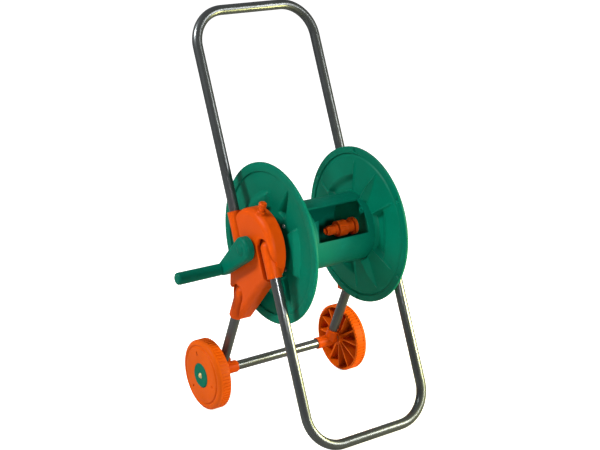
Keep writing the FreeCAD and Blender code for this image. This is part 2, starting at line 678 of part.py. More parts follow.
def screw(x, y, z, length):
    """Pan-headed screw pointing along +X from its head's seat, about the reel axis."""
    shank = Part.makeCylinder(V.screw_rad, length, Vec(x, y, z), Vec(1, 0, 0))
    head = Part.makeCylinder(V.screw_head_rad, V.screw_head_len, Vec(x - V.screw_head_len, y, z), Vec(1, 0, 0))
    rim = [e for e in head.Edges if abs(e.CenterOfMass.x - (x - V.screw_head_len)) < 1e-6]
    head = head.makeFillet(V.screw_head_len * 0.4, rim)
    slot = Part.makeBox(V.screw_head_len * 0.5, V.screw_rad * 0.5, V.screw_head_rad * 1.2,
                        Vec(x - V.screw_head_len, y - V.screw_rad * 0.25, z - V.screw_head_rad * 0.6))
    return head.fuse(shank).removeSplitter().cut(slot)


def screw_group(name, x, places, length):
    """Screws on the right side; their points are (y, z) formulas about the reel axis."""
    group = doc.addObject("Part::Feature", name)
    group.Shape = Part.makeCompound([screw(x, number(y), number(z), length) for y, z in places])
    locate(group, REEL_AT)
    return group


def ring_places(radius, count, first):
    """Even places on a circle about the reel axis, as (y, z) formulas."""
    turn = 360.0 / count
    angles = [f"({first} + {turn * i})" for i in range(count)]
    return [(f"{radius} * cos({angle})", f"{radius} * sin({angle})") for angle in angles]


FLANGE_SCREWS = ring_places("flange_screw_ring", 4, 45.0)
COVER_FACE = V.back_half - V.cover_thick
for kind, places, length in (("cover_screws", COVER_SCREWS, V.screw_len),
                             ("tube_screws", TUBE_SCREWS, V.tube_screw_len)):
    group = node(screw_group(kind + "_right", COVER_FACE, places, length), kind + "_right")
    node(mirrored(group, kind + "_mirror"), kind + "_left")

# ---------------------------------------------------------------- reel

def radial(body, name, corners, offset="0"):
    """A turned outline: corners are (x, radius)."""
    return outline(body, name, "XZ_Plane", corners, offset)


drum_core = new_body("drum_core", REEL_AT)
pad(drum_core, circle(drum_core, "core_section", "YZ_Plane", "core_rad", offset="-web_half",
                      inner="core_rad - core_wall"), "2 * web_half", "Wall")
panel_high = "sqrt((core_rad - core_wall / 2) ^ 2 - panel_fore ^ 2)"
solid_in_body(drum_core, "AdditiveBox", "panel", ("-web_half", "-panel_fore", f"-{panel_high}"),
              Length="web_half + panel_right", Width="core_wall", Height=f"{panel_high} + panel_top")
for end, start in (("left", "-web_half"), ("right", "web_half - screw_len")):
    for y, z in FLANGE_SCREWS:
        solid_in_body(drum_core, "AdditiveCylinder", f"boss_{end}", (start, y, z), "90", axis=(0, 1, 0),
                      Radius="core_rad - flange_screw_ring - core_wall / 2", Height="screw_len")
wedge = outline(drum_core, "window_section", "YZ_Plane",
                [(f"-core_rad * {far} * cos({angle})", f"core_rad * {far} * sin({angle})")
                 for far, angle in ((0.78, "window_low"), (1.5, "window_low"), (1.5, "window_high"),
                                    (0.78, "window_high"))][::-1], "window_left")
pocket(drum_core, wedge, "window_right - window_left", "Window")
for start in ("-web_half - 1", "web_half - screw_len + 1"):
    for y, z in FLANGE_SCREWS:
        solid_in_body(drum_core, "SubtractiveCylinder", "boss_hole", (start, y, z), "90", axis=(0, 1, 0),
                      Radius="screw_rad + fixed_clear", Height="screw_len")
node(drum_core, "drum_core")


def flange(name, journal_end):
    """Dished disc with a flat rim band, sunk petals and a journal that runs in the bracket cover."""
    body = new_body(name, REEL_AT)
    inner_rim = "(rim_half - rim_thick)"
    disc = radial(body, name + "_profile", [
        ("web_half", "0"), (f"{journal_end}", "0"), (f"{journal_end}", "journal_rad"),
        ("web_half + web_thick", "journal_rad"), ("web_half + web_thick", "core_rad + 3"),
        (f"{inner_rim} + rim_step + web_thick", "flange_rad - rim_band"), ("rim_half - 1", "flange_rad - rim_band"),
        ("rim_half", "flange_rad - rim_band + 1"), ("rim_half", "flange_rad - 1.5"),
        ("rim_half - 1.5", "flange_rad"), (f"{inner_rim} + 1.5", "flange_rad"),
        (inner_rim, "flange_rad - 1.5"), (inner_rim, "flange_rad - rim_band"),
        (f"{inner_rim} + rim_step", "flange_rad - rim_band"),
        ("web_half", "core_rad + 3")])
    revolve(body, disc)
    petal = outline(body, name + "_petal", "YZ_Plane",
                    [("-petal_half", "core_rad + 6"), ("petal_half", "core_rad + 6"),
                     ("2", "flange_rad - rim_band - 8"), ("-2", "flange_rad - rim_band - 8")],
                    "web_half - 2")
    sunk = pocket(body, petal, "2 + petal_depth", "Petal")
    notch = outline(body, name + "_notch", "YZ_Plane",
                    [("-3", "flange_rad - rim_band + 3"), ("3", "flange_rad - rim_band + 3"),
                     ("3", "flange_rad - 4"), ("-3", "flange_rad - 4")], f"{inner_rim} - 1")
    notched = pocket(body, notch, "1 + rim_thick * 0.3", "Notch")
    polar(body, [sunk, notched], "petal_count")
    for y, z in FLANGE_SCREWS:
        solid_in_body(body, "SubtractiveCylinder", "screw_hole", ("web_half - 1", y, z), "90", axis=(0, 1, 0),
                      Radius="screw_rad + fixed_clear", Height="web_thick + 2")
    return body


left_flange = flange("flange_left_source", "journal_left_end")
solid_in_body(left_flange, "SubtractiveBox", "drive_socket",
              ("journal_left_end - stub_len", "-stub_side / 2 - fixed_clear", "-stub_side / 2 - fixed_clear"),
              Length="stub_len + 1", Width="stub_side + 2 * fixed_clear", Height="stub_side + 2 * fixed_clear")
solid_in_body(left_flange, "SubtractiveCylinder", "crank_screw_hole",
              (f"{CRANK_OUT} - crank_pit - crank_screw_len", "0", "0"), "90", axis=(0, 1, 0),
              Radius="crank_screw_rad + fixed_clear", Height="crank_screw_len")
node(mirrored(left_flange, "flange_left"), "flange_left")

right_flange = flange("flange_right", "journal_right_end")
groove(right_flange, radial(right_flange, "waterway", [
    ("web_half - 1", "0"), ("journal_right_end + 1", "0"),
    ("journal_right_end + 1", "inlet_spigot_rad + run_clear"),
    ("web_half + fit_tail_len", "inlet_spigot_rad + run_clear"),
    ("web_half + fit_tail_len", "fit_tail_rad + fixed_clear"), ("web_half - 1", "fit_tail_rad + fixed_clear")]))
node(right_flange, "flange_right")

def inward_screws(name):
    """Flange screws point towards the middle plane, so each is turned end for end."""
    group = doc.addObject("Part::Feature", name)
    seat = V.web_half + V.web_thick
    turned = []
    for y, z in FLANGE_SCREWS:
        one = screw(0.0, 0.0, 0.0, V.screw_len - 2.0)
        one.rotate(Vec(), Vec(0, 0, 1), 180.0)
        one.translate(Vec(seat, number(y), number(z)))
        turned.append(one)
    group.Shape = Part.makeCompound(turned)
    locate(group, REEL_AT)
    return group


inward = node(inward_screws("flange_screws_right"), "flange_screws_right")
node(mirrored(inward, "flange_screws_mirror"), "flange_screws_left")

# Drum fitting: flange on the right hub, neck, nut and spigot, bored for water.
drum_connector = new_body("drum_connector", REEL_AT)
revolve(drum_connector, radial(drum_connector, "connector_profile", [
    ("fit_tip", "water_rad"), ("web_half + fit_tail_len - side_clear", "water_rad"),
    ("web_half + fit_tail_len - side_clear", "fit_tail_rad"), ("web_half", "fit_tail_rad"),
    ("web_half", "fit_flange_rad"), ("web_half - fit_flange_thick", "fit_flange_rad"),
    ("web_half - fit_flange_thick", "fit_neck_rad + 2"), ("fit_nut_right + side_clear", "fit_neck_rad + 2"),
    ("fit_nut_right + side_clear", "fit_neck_rad"), ("fit_nut_left - 4", "fit_neck_rad"),
    ("fit_nut_left - 4", "fit_neck_rad - 1.6"), ("fit_nut_left - 9", "fit_neck_rad - 1.6"),
    ("fit_nut_left - 9", "fit_neck_rad"), ("fit_tip + 5", "fit_neck_rad"),
    ("fit_tip + 3.5", "fit_neck_rad - 1.6"), ("fit_tip", "fit_neck_rad - 1.6")]))
node(drum_connector, "drum_connector")

connector_nut = new_body("connector_nut", REEL_AT)
nut_ring = circle(connector_nut, "nut_section", "YZ_Plane", "fit_nut_rad", offset="fit_nut_left",
                  inner="fit_neck_rad + fixed_clear")
pad(connector_nut, nut_ring, "fit_nut_right - fit_nut_left", "Ring")
flute = circle(connector_nut, "flute_section", "YZ_Plane", "1.6", "0", "fit_nut_rad + 0.6", "fit_nut_left + 3")
polar(connector_nut, [pocket(connector_nut, flute, "fit_nut_right - fit_nut_left", "Flute")], "12")
node(connector_nut, "connector_nut")

# ---------------------------------------------------------------- crank

TIP = ("crank_throw * cos(crank_angle)", "crank_throw * sin(crank_angle)")
SPREAD = "acos((crank_hub_rad - crank_tip_rad) / crank_throw)"


def crank_point(middle, radius, angle):
    return (f"{middle[0]} + {radius} * cos(crank_angle * 1 deg + {angle})",
            f"{middle[1]} + {radius} * sin(crank_angle * 1 deg + {angle})")


hub_up = crank_point(("0", "0"), "crank_hub_rad", SPREAD)
hub_back = crank_point(("0", "0"), "crank_hub_rad", "180 deg")
hub_down = crank_point(("0", "0"), "crank_hub_rad", f"-1 * {SPREAD}")
tip_down = crank_point(TIP, "crank_tip_rad", f"-1 * {SPREAD}")
tip_up = crank_point(TIP, "crank_tip_rad", SPREAD)

crank_source = new_body("crank_source", REEL_AT)
pad(crank_source, outline(crank_source, "crank_side", "YZ_Plane", [
    (*hub_up, "crank_hub_rad", 1), (*hub_back, "crank_hub_rad", 1), hub_down,
    (*tip_down, "crank_tip_rad", 1), tip_up], CRANK_IN), "crank_thick", "Arm")
dress(crank_source, "Fillet", edges_at("X", number(CRANK_OUT)), "crank_round", "Outer_edge")
solid_in_body(crank_source, "AdditiveBox", "drive_stub",
              ("journal_left_end - stub_len + 1", "-stub_side / 2", "-stub_side / 2"),
              Length="stub_len + 1 + side_clear", Width="stub_side", Height="stub_side")
solid_in_body(crank_source, "SubtractiveCylinder", "screw_pit", (f"{CRANK_OUT} - crank_pit", "0", "0"), "90",
              axis=(0, 1, 0), Radius="2 * crank_screw_rad + 0.6", Height="crank_pit + 2")
solid_in_body(crank_source, "SubtractiveCylinder", "screw_way", ("journal_left_end - stub_len", "0", "0"), "90",
              axis=(0, 1, 0), Radius="crank_screw_rad + fixed_clear", Height="stub_len + crank_thick + crank_pit")
solid_in_body(crank_source, "SubtractiveCylinder", "pin_hole", (f"{CRANK_IN} + grip_pin_seat", *TIP), "90",
              axis=(0, 1, 0), Radius="grip_pin_rad + fixed_clear", Height="crank_thick")
node(mirrored(crank_source, "crank_arm"), "crank_arm")

crank_screw_source = new_body("crank_screw_source", REEL_AT)
revolve(crank_screw_source, radial(crank_screw_source, "crank_screw_profile", [
    (f"{CRANK_OUT} - crank_pit - crank_screw_len + 2", "0"), (f"{CRANK_OUT} - 0.8", "0"),
    (f"{CRANK_OUT} - 1.4", "crank_screw_rad * 1.6"), (f"{CRANK_OUT} - crank_pit", "crank_screw_rad * 2"),
    (f"{CRANK_OUT} - crank_pit", "crank_screw_rad"),
    (f"{CRANK_OUT} - crank_pit - crank_screw_len + 2", "crank_screw_rad")]))
node(mirrored(crank_screw_source, "crank_screw"), "crank_screw")

GRIP_AT = ("0", f"-reel_fore + {TIP[0]}", f"reel_height + {TIP[1]}")
grip_pin_source = new_body("grip_pin_source", GRIP_AT)
pad(grip_pin_source, circle(grip_pin_source, "pin_section", "YZ_Plane", "grip_pin_rad",
                            offset=f"{CRANK_IN} + grip_pin_seat"),
    "crank_thick - grip_pin_seat + grip_pin_reach", "Pin")
node(mirrored(grip_pin_source, "grip_pin"), "grip_pin")

grip_source = new_body("grip_source", GRIP_AT)
revolve(grip_source, radial(grip_source, "grip_profile", [
    (GRIP_IN, "grip_pin_rad + run_clear"), (f"{GRIP_IN} + grip_pin_reach + 1", "grip_pin_rad + run_clear"),
    (f"{GRIP_IN} + grip_pin_reach + 1", "0"), (GRIP_OUT, "0"), (GRIP_OUT, "grip_rad - 5", "5", 1),
    (f"{GRIP_OUT} - 5", "grip_rad"), (f"{GRIP_IN} + 1.2", "grip_rad - 0.4"), (GRIP_IN, "grip_rad - 1.6")]))
node(mirrored(grip_source, "crank_grip"), "crank_grip")

# ---------------------------------------------------------------- wheels

def wheel():
    """Moulded wheel: tread band, outer disc, hub and inner ribs."""
    body = new_body("wheel_right", AXLE_AT)
    disc = "(wheel_out - wheel_web)"
    revolve(body, radial(body, "wheel_profile", [
        (HUB_IN, "rod_rad + run_clear"), (HUB_OUT, "rod_rad + run_clear"), (HUB_OUT, "wheel_cap_rad + 0.4"),
        ("wheel_out", "wheel_cap_rad + 0.4"), ("wheel_out", "wheel_crease"),
        ("wheel_out - 1.2", "wheel_crease + 1"), ("wheel_out - 1.2", "wheel_crease + 3"),
        ("wheel_out - 0.6", "wheel_crease + 4"), ("wheel_out - 2", "wheel_rad - 3"),
        ("wheel_out - 6", "wheel_rad"), (f"{WHEEL_IN} + 1", "wheel_rad"), (WHEEL_IN, "wheel_rad - 1"),
        (WHEEL_IN, "wheel_rad - wheel_rim"), (f"{disc} - 1.5", "wheel_rad - wheel_rim - 1"),
        (f"{disc} - 1.5", "wheel_cap_rad + 4"), (f"{HUB_OUT} - wheel_web", "wheel_cap_rad"),
        (f"{HUB_OUT} - wheel_web", "wheel_hub_rad"), (HUB_IN, "wheel_hub_rad")]))
    rib = outline(body, "rib_side", "XZ_Plane", [
        (f"{HUB_IN} + 3", "wheel_hub_rad - 1"), (f"{HUB_OUT} - 1", "wheel_hub_rad - 1"),
        (f"{HUB_OUT} - 1", "wheel_cap_rad + 1"), (f"{disc} - 0.5", "wheel_cap_rad + 5"),
        (f"{disc} - 0.5", "wheel_rad - wheel_rim + 1"), (f"{WHEEL_IN} + 3", "wheel_rad - wheel_rim + 1")])
    blade = pad(body, rib, "wheel_rib_thick", "Rib")
    blade.Midplane = True
    polar(body, [blade], "wheel_ribs", name="Ribs")
    slot = outline(body, "slot_side", "YZ_Plane", [
        ("-wheel_slot_half", "wheel_slot_in"), ("wheel_slot_half", "wheel_slot_in"),
        ("wheel_slot_half", "wheel_slot_out"), ("-wheel_slot_half", "wheel_slot_out")], f"{disc} - 2")
    cut = pocket(body, slot, "wheel_web + 4", "Slot")
    polar(body, [cut], "3", name="Slots")
    return body


wheel_right = node(wheel(), "wheel_right")
node(mirrored(wheel_right, "wheel_mirror"), "wheel_left")

cap_right = new_body("wheel_cap_right", AXLE_AT)
CAP_IN, CAP_OUT = HUB_OUT, "(wheel_out + wheel_cap_proud)"
revolve(cap_right, radial(cap_right, "cap_profile", [
    (CAP_IN, "nut_rad + 0.6"), (f"{CAP_OUT} - 0.6", "nut_rad + 0.6"), (CAP_OUT, "nut_rad + 1.6"),
    (CAP_OUT, "wheel_cap_rad - 2"), ("wheel_out", "wheel_cap_rad"), (CAP_IN, "wheel_cap_rad")]))
node(cap_right, "wheel_cap_right")
node(mirrored(cap_right, "cap_mirror"), "wheel_cap_left")

washer_right = new_body("wheel_washer_right", AXLE_AT)
pad(washer_right, circle(washer_right, "washer_section", "YZ_Plane", "washer_rad", offset="joint_out",
                         inner="rod_rad + fixed_clear"), "washer_thick", "Disc")
node(washer_right, "wheel_washer_right")
node(mirrored(washer_right, "washer_mirror"), "wheel_washer_left")

nut_right = new_body("push_nut_right", AXLE_AT)
revolve(nut_right, radial(nut_right, "push_nut_profile", [
    (f"{HUB_OUT} + side_clear", "rod_rad"), ("rod_half", "rod_rad"), ("rod_half", "0"), (NUT_OUT, "0"),
    (f"{NUT_OUT} - 0.5", "nut_rad - 2"), ("rod_half - 0.5", "nut_rad"), (f"{HUB_OUT} + side_clear", "nut_rad")]))
node(nut_right, "push_nut_right")
node(mirrored(nut_right, "push_nut_mirror"), "push_nut_left")

# ---------------------------------------------------------------- parking spigot, on the left bracket

PEG_Y, PEG_Z = peg_point("dome_rad + peg_rise")
peg_source = new_body("peg_source", ("track_half", f"-reel_fore + {PEG_Y}", f"reel_height + {PEG_Z}"),
                      "peg_lean")
collar, neck = "peg_collar_len", "(peg_collar_len + peg_neck_len)"
top = "(peg_collar_len + peg_neck_len + peg_head_len)"
revolve(peg_source, outline(peg_source, "peg_profile", "XZ_Plane", [
    ("0", "-peg_root_len"), ("peg_root_rad", "-peg_root_len"), ("peg_root_rad", "0"),
    ("peg_collar_rad", "0"), ("peg_collar_rad", f"{collar} - 1"), ("peg_collar_rad - 1", collar),
    ("peg_neck_rad", collar), ("peg_neck_rad", neck), ("peg_head_rad - 0.6", f"{neck}"),
    ("peg_head_rad", f"{neck} + 0.6"), ("peg_head_rad", f"{top} - 2"), ("peg_head_rad - 2", top), ("0", top)]),
    "V_Axis")
node(mirrored(peg_source, "parking_spigot"), "parking_spigot")

# ---------------------------------------------------------------- fixed water inlet on the right

inlet = new_body("water_inlet", REEL_AT)
INLET_IN = "(web_half + fit_tail_len + 1)"
revolve(inlet, radial(inlet, "inlet_profile", [
    (INLET_IN, "water_rad"), ("inlet_tip", "water_rad"), ("inlet_tip", "inlet_neck_rad"),
    ("inlet_tip - 1.5", "inlet_head_rad"), ("inlet_tip - 9", "inlet_head_rad"), ("inlet_tip - 10", "inlet_neck_rad"),
    ("inlet_tip - 18", "inlet_neck_rad"), ("inlet_tip - 18", "inlet_body_rad - 1"),
    ("face_half + inlet_flange_thick", "inlet_body_rad - 1"),
    ("face_half + inlet_flange_thick", "inlet_flange_rad"), ("face_half", "inlet_flange_rad"),
    ("face_half", "inlet_body_rad"), ("journal_right_end + side_clear", "inlet_body_rad"),
    ("journal_right_end + side_clear", "inlet_spigot_rad"),
    (f"{INLET_IN} + 16", "inlet_spigot_rad"), (f"{INLET_IN} + 16", "inlet_spigot_rad - 2 * seal_wire"),
    (f"{INLET_IN} + 16 - 2 * seal_wire", "inlet_spigot_rad - 2 * seal_wire"),
    (f"{INLET_IN} + 16 - 2 * seal_wire", "inlet_spigot_rad"),
    (f"{INLET_IN} + 6", "inlet_spigot_rad"), (f"{INLET_IN} + 6", "inlet_spigot_rad - 2 * seal_wire"),
    (f"{INLET_IN} + 6 - 2 * seal_wire", "inlet_spigot_rad - 2 * seal_wire"),
    (f"{INLET_IN} + 6 - 2 * seal_wire", "inlet_spigot_rad"), (INLET_IN, "inlet_spigot_rad")]))
node(inlet, "water_inlet")

inlet_nut = new_body("inlet_nut", REEL_AT)
NUT_SEAT = "(face_half - bracket_wall - shoulder_rad * 0.3)"
pad(inlet_nut, circle(inlet_nut, "inlet_nut_section", "YZ_Plane", "inlet_nut_rad",
                      offset=f"{NUT_SEAT} - inlet_nut_thick", inner="inlet_body_rad + fixed_clear"),
    "inlet_nut_thick", "Ring")
node(inlet_nut, "inlet_nut")

seals = doc.addObject("Part::Feature", "inlet_seals")
rings = []
for step in (6.0, 16.0):
    middle = Vec(number(INLET_IN) + step - V.seal_wire, 0, 0)
    rings.append(Part.makeTorus(V.inlet_spigot_rad - V.seal_wire, V.seal_wire * 0.98, middle, Vec(1, 0, 0)))
seals.Shape = Part.makeCompound(rings)
locate(seals, REEL_AT)
node(seals, "inlet_seals")

# ---------------------------------------------------------------- test and write

doc.recompute()
failed = [o.Name for o in doc.Objects if "Invalid" in o.State or "Error" in o.State]
if failed:
    raise SystemExit(f"failed objects: {failed}")
for obj in nodes:
    if obj.Shape.isNull() or not obj.Shape.isValid() or not obj.Shape.Solids:
        raise SystemExit(f"bad shape: {obj.Label}")

os.makedirs("parts", exist_ok=True)
for obj in nodes:
    obj.Shape.exportStep(f"parts/{obj.Label}.step")
print(f"{len(nodes)} sub-parts written, origin {number(MID_X):.2f} / {number(MID_Y):.2f} mm from the axle")
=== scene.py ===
# %% [markdown]
# # A garden hose reel cart
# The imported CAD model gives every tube, bracket, wheel and screw in its place. This lesson dresses it:
# moulded green and orange plastic, drawn steel tube, and the relief that the big mouldings carry.
# All lengths are metres, with +Z up and the crank on the -X side.

# %% Load the frame and keep its box
import bpy
import bmesh
import json
import math
import numpy as np
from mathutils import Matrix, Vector


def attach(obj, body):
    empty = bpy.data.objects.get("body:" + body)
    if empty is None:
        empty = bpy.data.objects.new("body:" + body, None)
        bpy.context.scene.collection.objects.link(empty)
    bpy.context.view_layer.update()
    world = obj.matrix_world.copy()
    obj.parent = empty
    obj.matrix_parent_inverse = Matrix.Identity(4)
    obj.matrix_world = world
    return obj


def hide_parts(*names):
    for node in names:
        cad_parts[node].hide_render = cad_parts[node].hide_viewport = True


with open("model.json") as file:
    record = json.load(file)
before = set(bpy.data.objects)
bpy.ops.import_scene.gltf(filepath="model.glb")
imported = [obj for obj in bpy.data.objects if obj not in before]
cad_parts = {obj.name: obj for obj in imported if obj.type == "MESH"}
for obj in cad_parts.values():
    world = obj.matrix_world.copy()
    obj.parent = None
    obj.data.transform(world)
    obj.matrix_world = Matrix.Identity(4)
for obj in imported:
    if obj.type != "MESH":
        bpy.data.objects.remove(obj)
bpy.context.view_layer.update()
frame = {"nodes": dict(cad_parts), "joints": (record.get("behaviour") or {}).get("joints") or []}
MM = 0.001
hinge_at = {j["name"]: Vector(j["pos_m"]) for j in frame["joints"]}
REEL = hinge_at["reel_spin"]
MIDDLE = REEL.x
print("reel axis", REEL, "nodes", len(frame["nodes"]))

# %% [markdown]
# ## The camera
# A long lens from the front left, a little above the reel. The angles are the ones that the cart's own
# straight tubes and round flanges give when they are solved for together.

# %% Camera
CAMERA_PLACE = (-1.24725, -1.84983, 0.99103)
CAMERA_TURN = (74.464, 1.602, -34.788)
camera_data = bpy.data.cameras.new("camera")
camera_data.lens = 75.325
camera_data.sensor_width = 36.0
camera = bpy.data.objects.new("camera", camera_data)
camera.location = CAMERA_PLACE
camera.rotation_euler = [math.radians(a) for a in CAMERA_TURN]
bpy.context.scene.collection.objects.link(camera)
bpy.context.scene.camera = camera

# %% [markdown]
# ## The studio floor
# A plain white floor. The camera sees it lifted to clean white, so the ground shadow fades out, while
# mirror-like rays see it grey: a dark tube only shows its gloss as a line when most of what it mirrors is
# darker than the lamps. Light Path tells the kinds of ray apart.

# %% Floor
scene = bpy.context.scene
scene.view_settings.view_transform = "Standard"
FLOOR_HALF = 12.0
FLOOR_WHITE, FLOOR_MIRRORED = (0.93, 0.93, 0.93, 1), (0.3, 0.3, 0.3, 1)
FLOOR_LIFT = 0.8
floor_data = bpy.data.meshes.new("studio_floor")
floor_data.from_pydata([(-FLOOR_HALF, -FLOOR_HALF, 0), (FLOOR_HALF, -FLOOR_HALF, 0),
                        (FLOOR_HALF, FLOOR_HALF, 0), (-FLOOR_HALF, FLOOR_HALF, 0)], [], [(0, 1, 2, 3)])
floor = bpy.data.objects.new("studio_floor", floor_data)
scene.collection.objects.link(floor)
floor_paint = bpy.data.materials.new("floor_white")
floor_paint.use_nodes = True
floor_nodes, floor_links = floor_paint.node_tree.nodes, floor_paint.node_tree.links
floor_shader = floor_nodes["Principled BSDF"]
floor_shader.inputs["Roughness"].default_value = 1.0
floor_shader.inputs["Specular IOR Level"].default_value = 0.0
floor_shader.inputs["Emission Color"].default_value = (1, 1, 1, 1)
floor_rays = floor_nodes.new("ShaderNodeLightPath")
floor_lift = floor_nodes.new("ShaderNodeMath")
floor_lift.operation = "MULTIPLY"
floor_lift.inputs[1].default_value = FLOOR_LIFT
floor_tone = floor_nodes.new("ShaderNodeMix")
floor_tone.data_type = "RGBA"
floor_tone.inputs["A"].default_value = FLOOR_WHITE
floor_tone.inputs["B"].default_value = FLOOR_MIRRORED
floor_links.new(floor_rays.outputs["Is Glossy Ray"], floor_tone.inputs["Factor"])
floor_links.new(floor_tone.outputs["Result"], floor_shader.inputs["Base Color"])
floor_links.new(floor_rays.outputs["Is Camera Ray"], floor_lift.inputs[0])
floor_links.new(floor_lift.outputs[0], floor_shader.inputs["Emission Strength"])
floor_data.materials.append(floor_paint)
print("floor", 2 * FLOOR_HALF, "m wide")

# %% [markdown]
# ## The sky
# One even sky, with three strengths. The camera sees it white, gloss mirrors it dim, and it lights the
# plastic weakly, because folds only show when one side is clearly the bright one.

# %% Sky
SKY_SEEN, SKY_LIGHTS, SKY_MIRRORED = 1.3, 0.4, 0.28
sky = bpy.data.worlds.new("studio_sky")
scene.world = sky
sky.use_nodes = True
sky_nodes, sky_links = sky.node_tree.nodes, sky.node_tree.links
sky_nodes.clear()
sky_out = sky_nodes.new("ShaderNodeOutputWorld")
rays = sky_nodes.new("ShaderNodeLightPath")
sky_layers = sky_nodes.new("ShaderNodeBackground")
sky_layers.inputs["Strength"].default_value = SKY_LIGHTS
for ray_kind, strength in (("Is Camera Ray", SKY_SEEN), ("Is Glossy Ray", SKY_MIRRORED)):
    glow = sky_nodes.new("ShaderNodeBackground")
    glow.inputs["Strength"].default_value = strength
    mix = sky_nodes.new("ShaderNodeMixShader")
    sky_links.new(rays.outputs[ray_kind], mix.inputs[0])
    sky_links.new(sky_layers.outputs[0], mix.inputs[1])
    sky_links.new(glow.outputs[0], mix.inputs[2])
    sky_layers = mix
sky_links.new(sky_layers.outputs[0], sky_out.inputs[0])
print("sky strengths", SKY_SEEN, SKY_LIGHTS, SKY_MIRRORED)

# %% [markdown]
# ## The lamps
# The key lamp stands high on the crank's side and a little behind, so the folds that face the front fall
# into shade. A tall lamp on the far front side draws the light edges of rims and tubes. Two small ones
# reach the drum's inside through its window and the far wheel's tread.

# %% Lamps
# name, place, aim, size, watts, tint
LAMPS = (
    ("key_lamp", (-2.1, 0.5, 2.5), (0, 0, 0.4), (0.6, 0.6), 104, (1, 1, 1)),
    ("edge_lamp", (1.7, -2.1, 1.1), (0, 0, 0.35), (0.4, 1.4), 40, (1, 1, 1)),
    ("drum_lamp", (-0.22, -0.85, 0.55), (0.02, -0.06, 0.35), (0.12, 0.12), 0.18, (1, 1, 1)),
    ("wheel_lamp", (0.75, -0.6, 0.3), (0.2, 0.1, 0.07), (0.3, 0.2), 13.0, (1.0, 0.95, 0.35)),
)
DRUM_LAMP_SPREAD = math.radians(28)
for name, place, aim, size, watts, tint in LAMPS:
    lamp_data = bpy.data.lights.new(name, "AREA")
    lamp_data.shape = "RECTANGLE"
    lamp_data.size, lamp_data.size_y = size
    lamp_data.energy = watts
    lamp_data.color = tint
    if name == "drum_lamp":
        lamp_data.spread = DRUM_LAMP_SPREAD
    lamp = bpy.data.objects.new(name, lamp_data)
    lamp.location = place
    lamp.rotation_euler = (Vector(aim) - Vector(place)).to_track_quat("-Z", "Y").to_euler()
    scene.collection.objects.link(lamp)
print(len(LAMPS), "lamps")

# %% [markdown]
# ## Surface effects shared by the finishes
# Moulded plastic is never one flat colour: pigment drifts a little, the mould leaves a fine grain and
# handling leaves faint pale rubs. One node group makes those for both plastics, with its own values each
# time. A second group draws the long fine lines that a die leaves on steel tube.

# %% Shader node helpers
def socket(tree, name, way, kind="NodeSocketFloat", value=None):
    made = tree.interface.new_socket(name=name, in_out=way, socket_type=kind)
    if value is not None:
        made.default_value = value
    return made


def chain(tree):
    """Short names for making and joining nodes in one tree."""
    def new(kind, **settings):
        made = tree.nodes.new(kind)
        for key, value in settings.items():
            setattr(made, key, value)
        return made

    def join(source, target):
        tree.links.new(source, target)
    return new, join


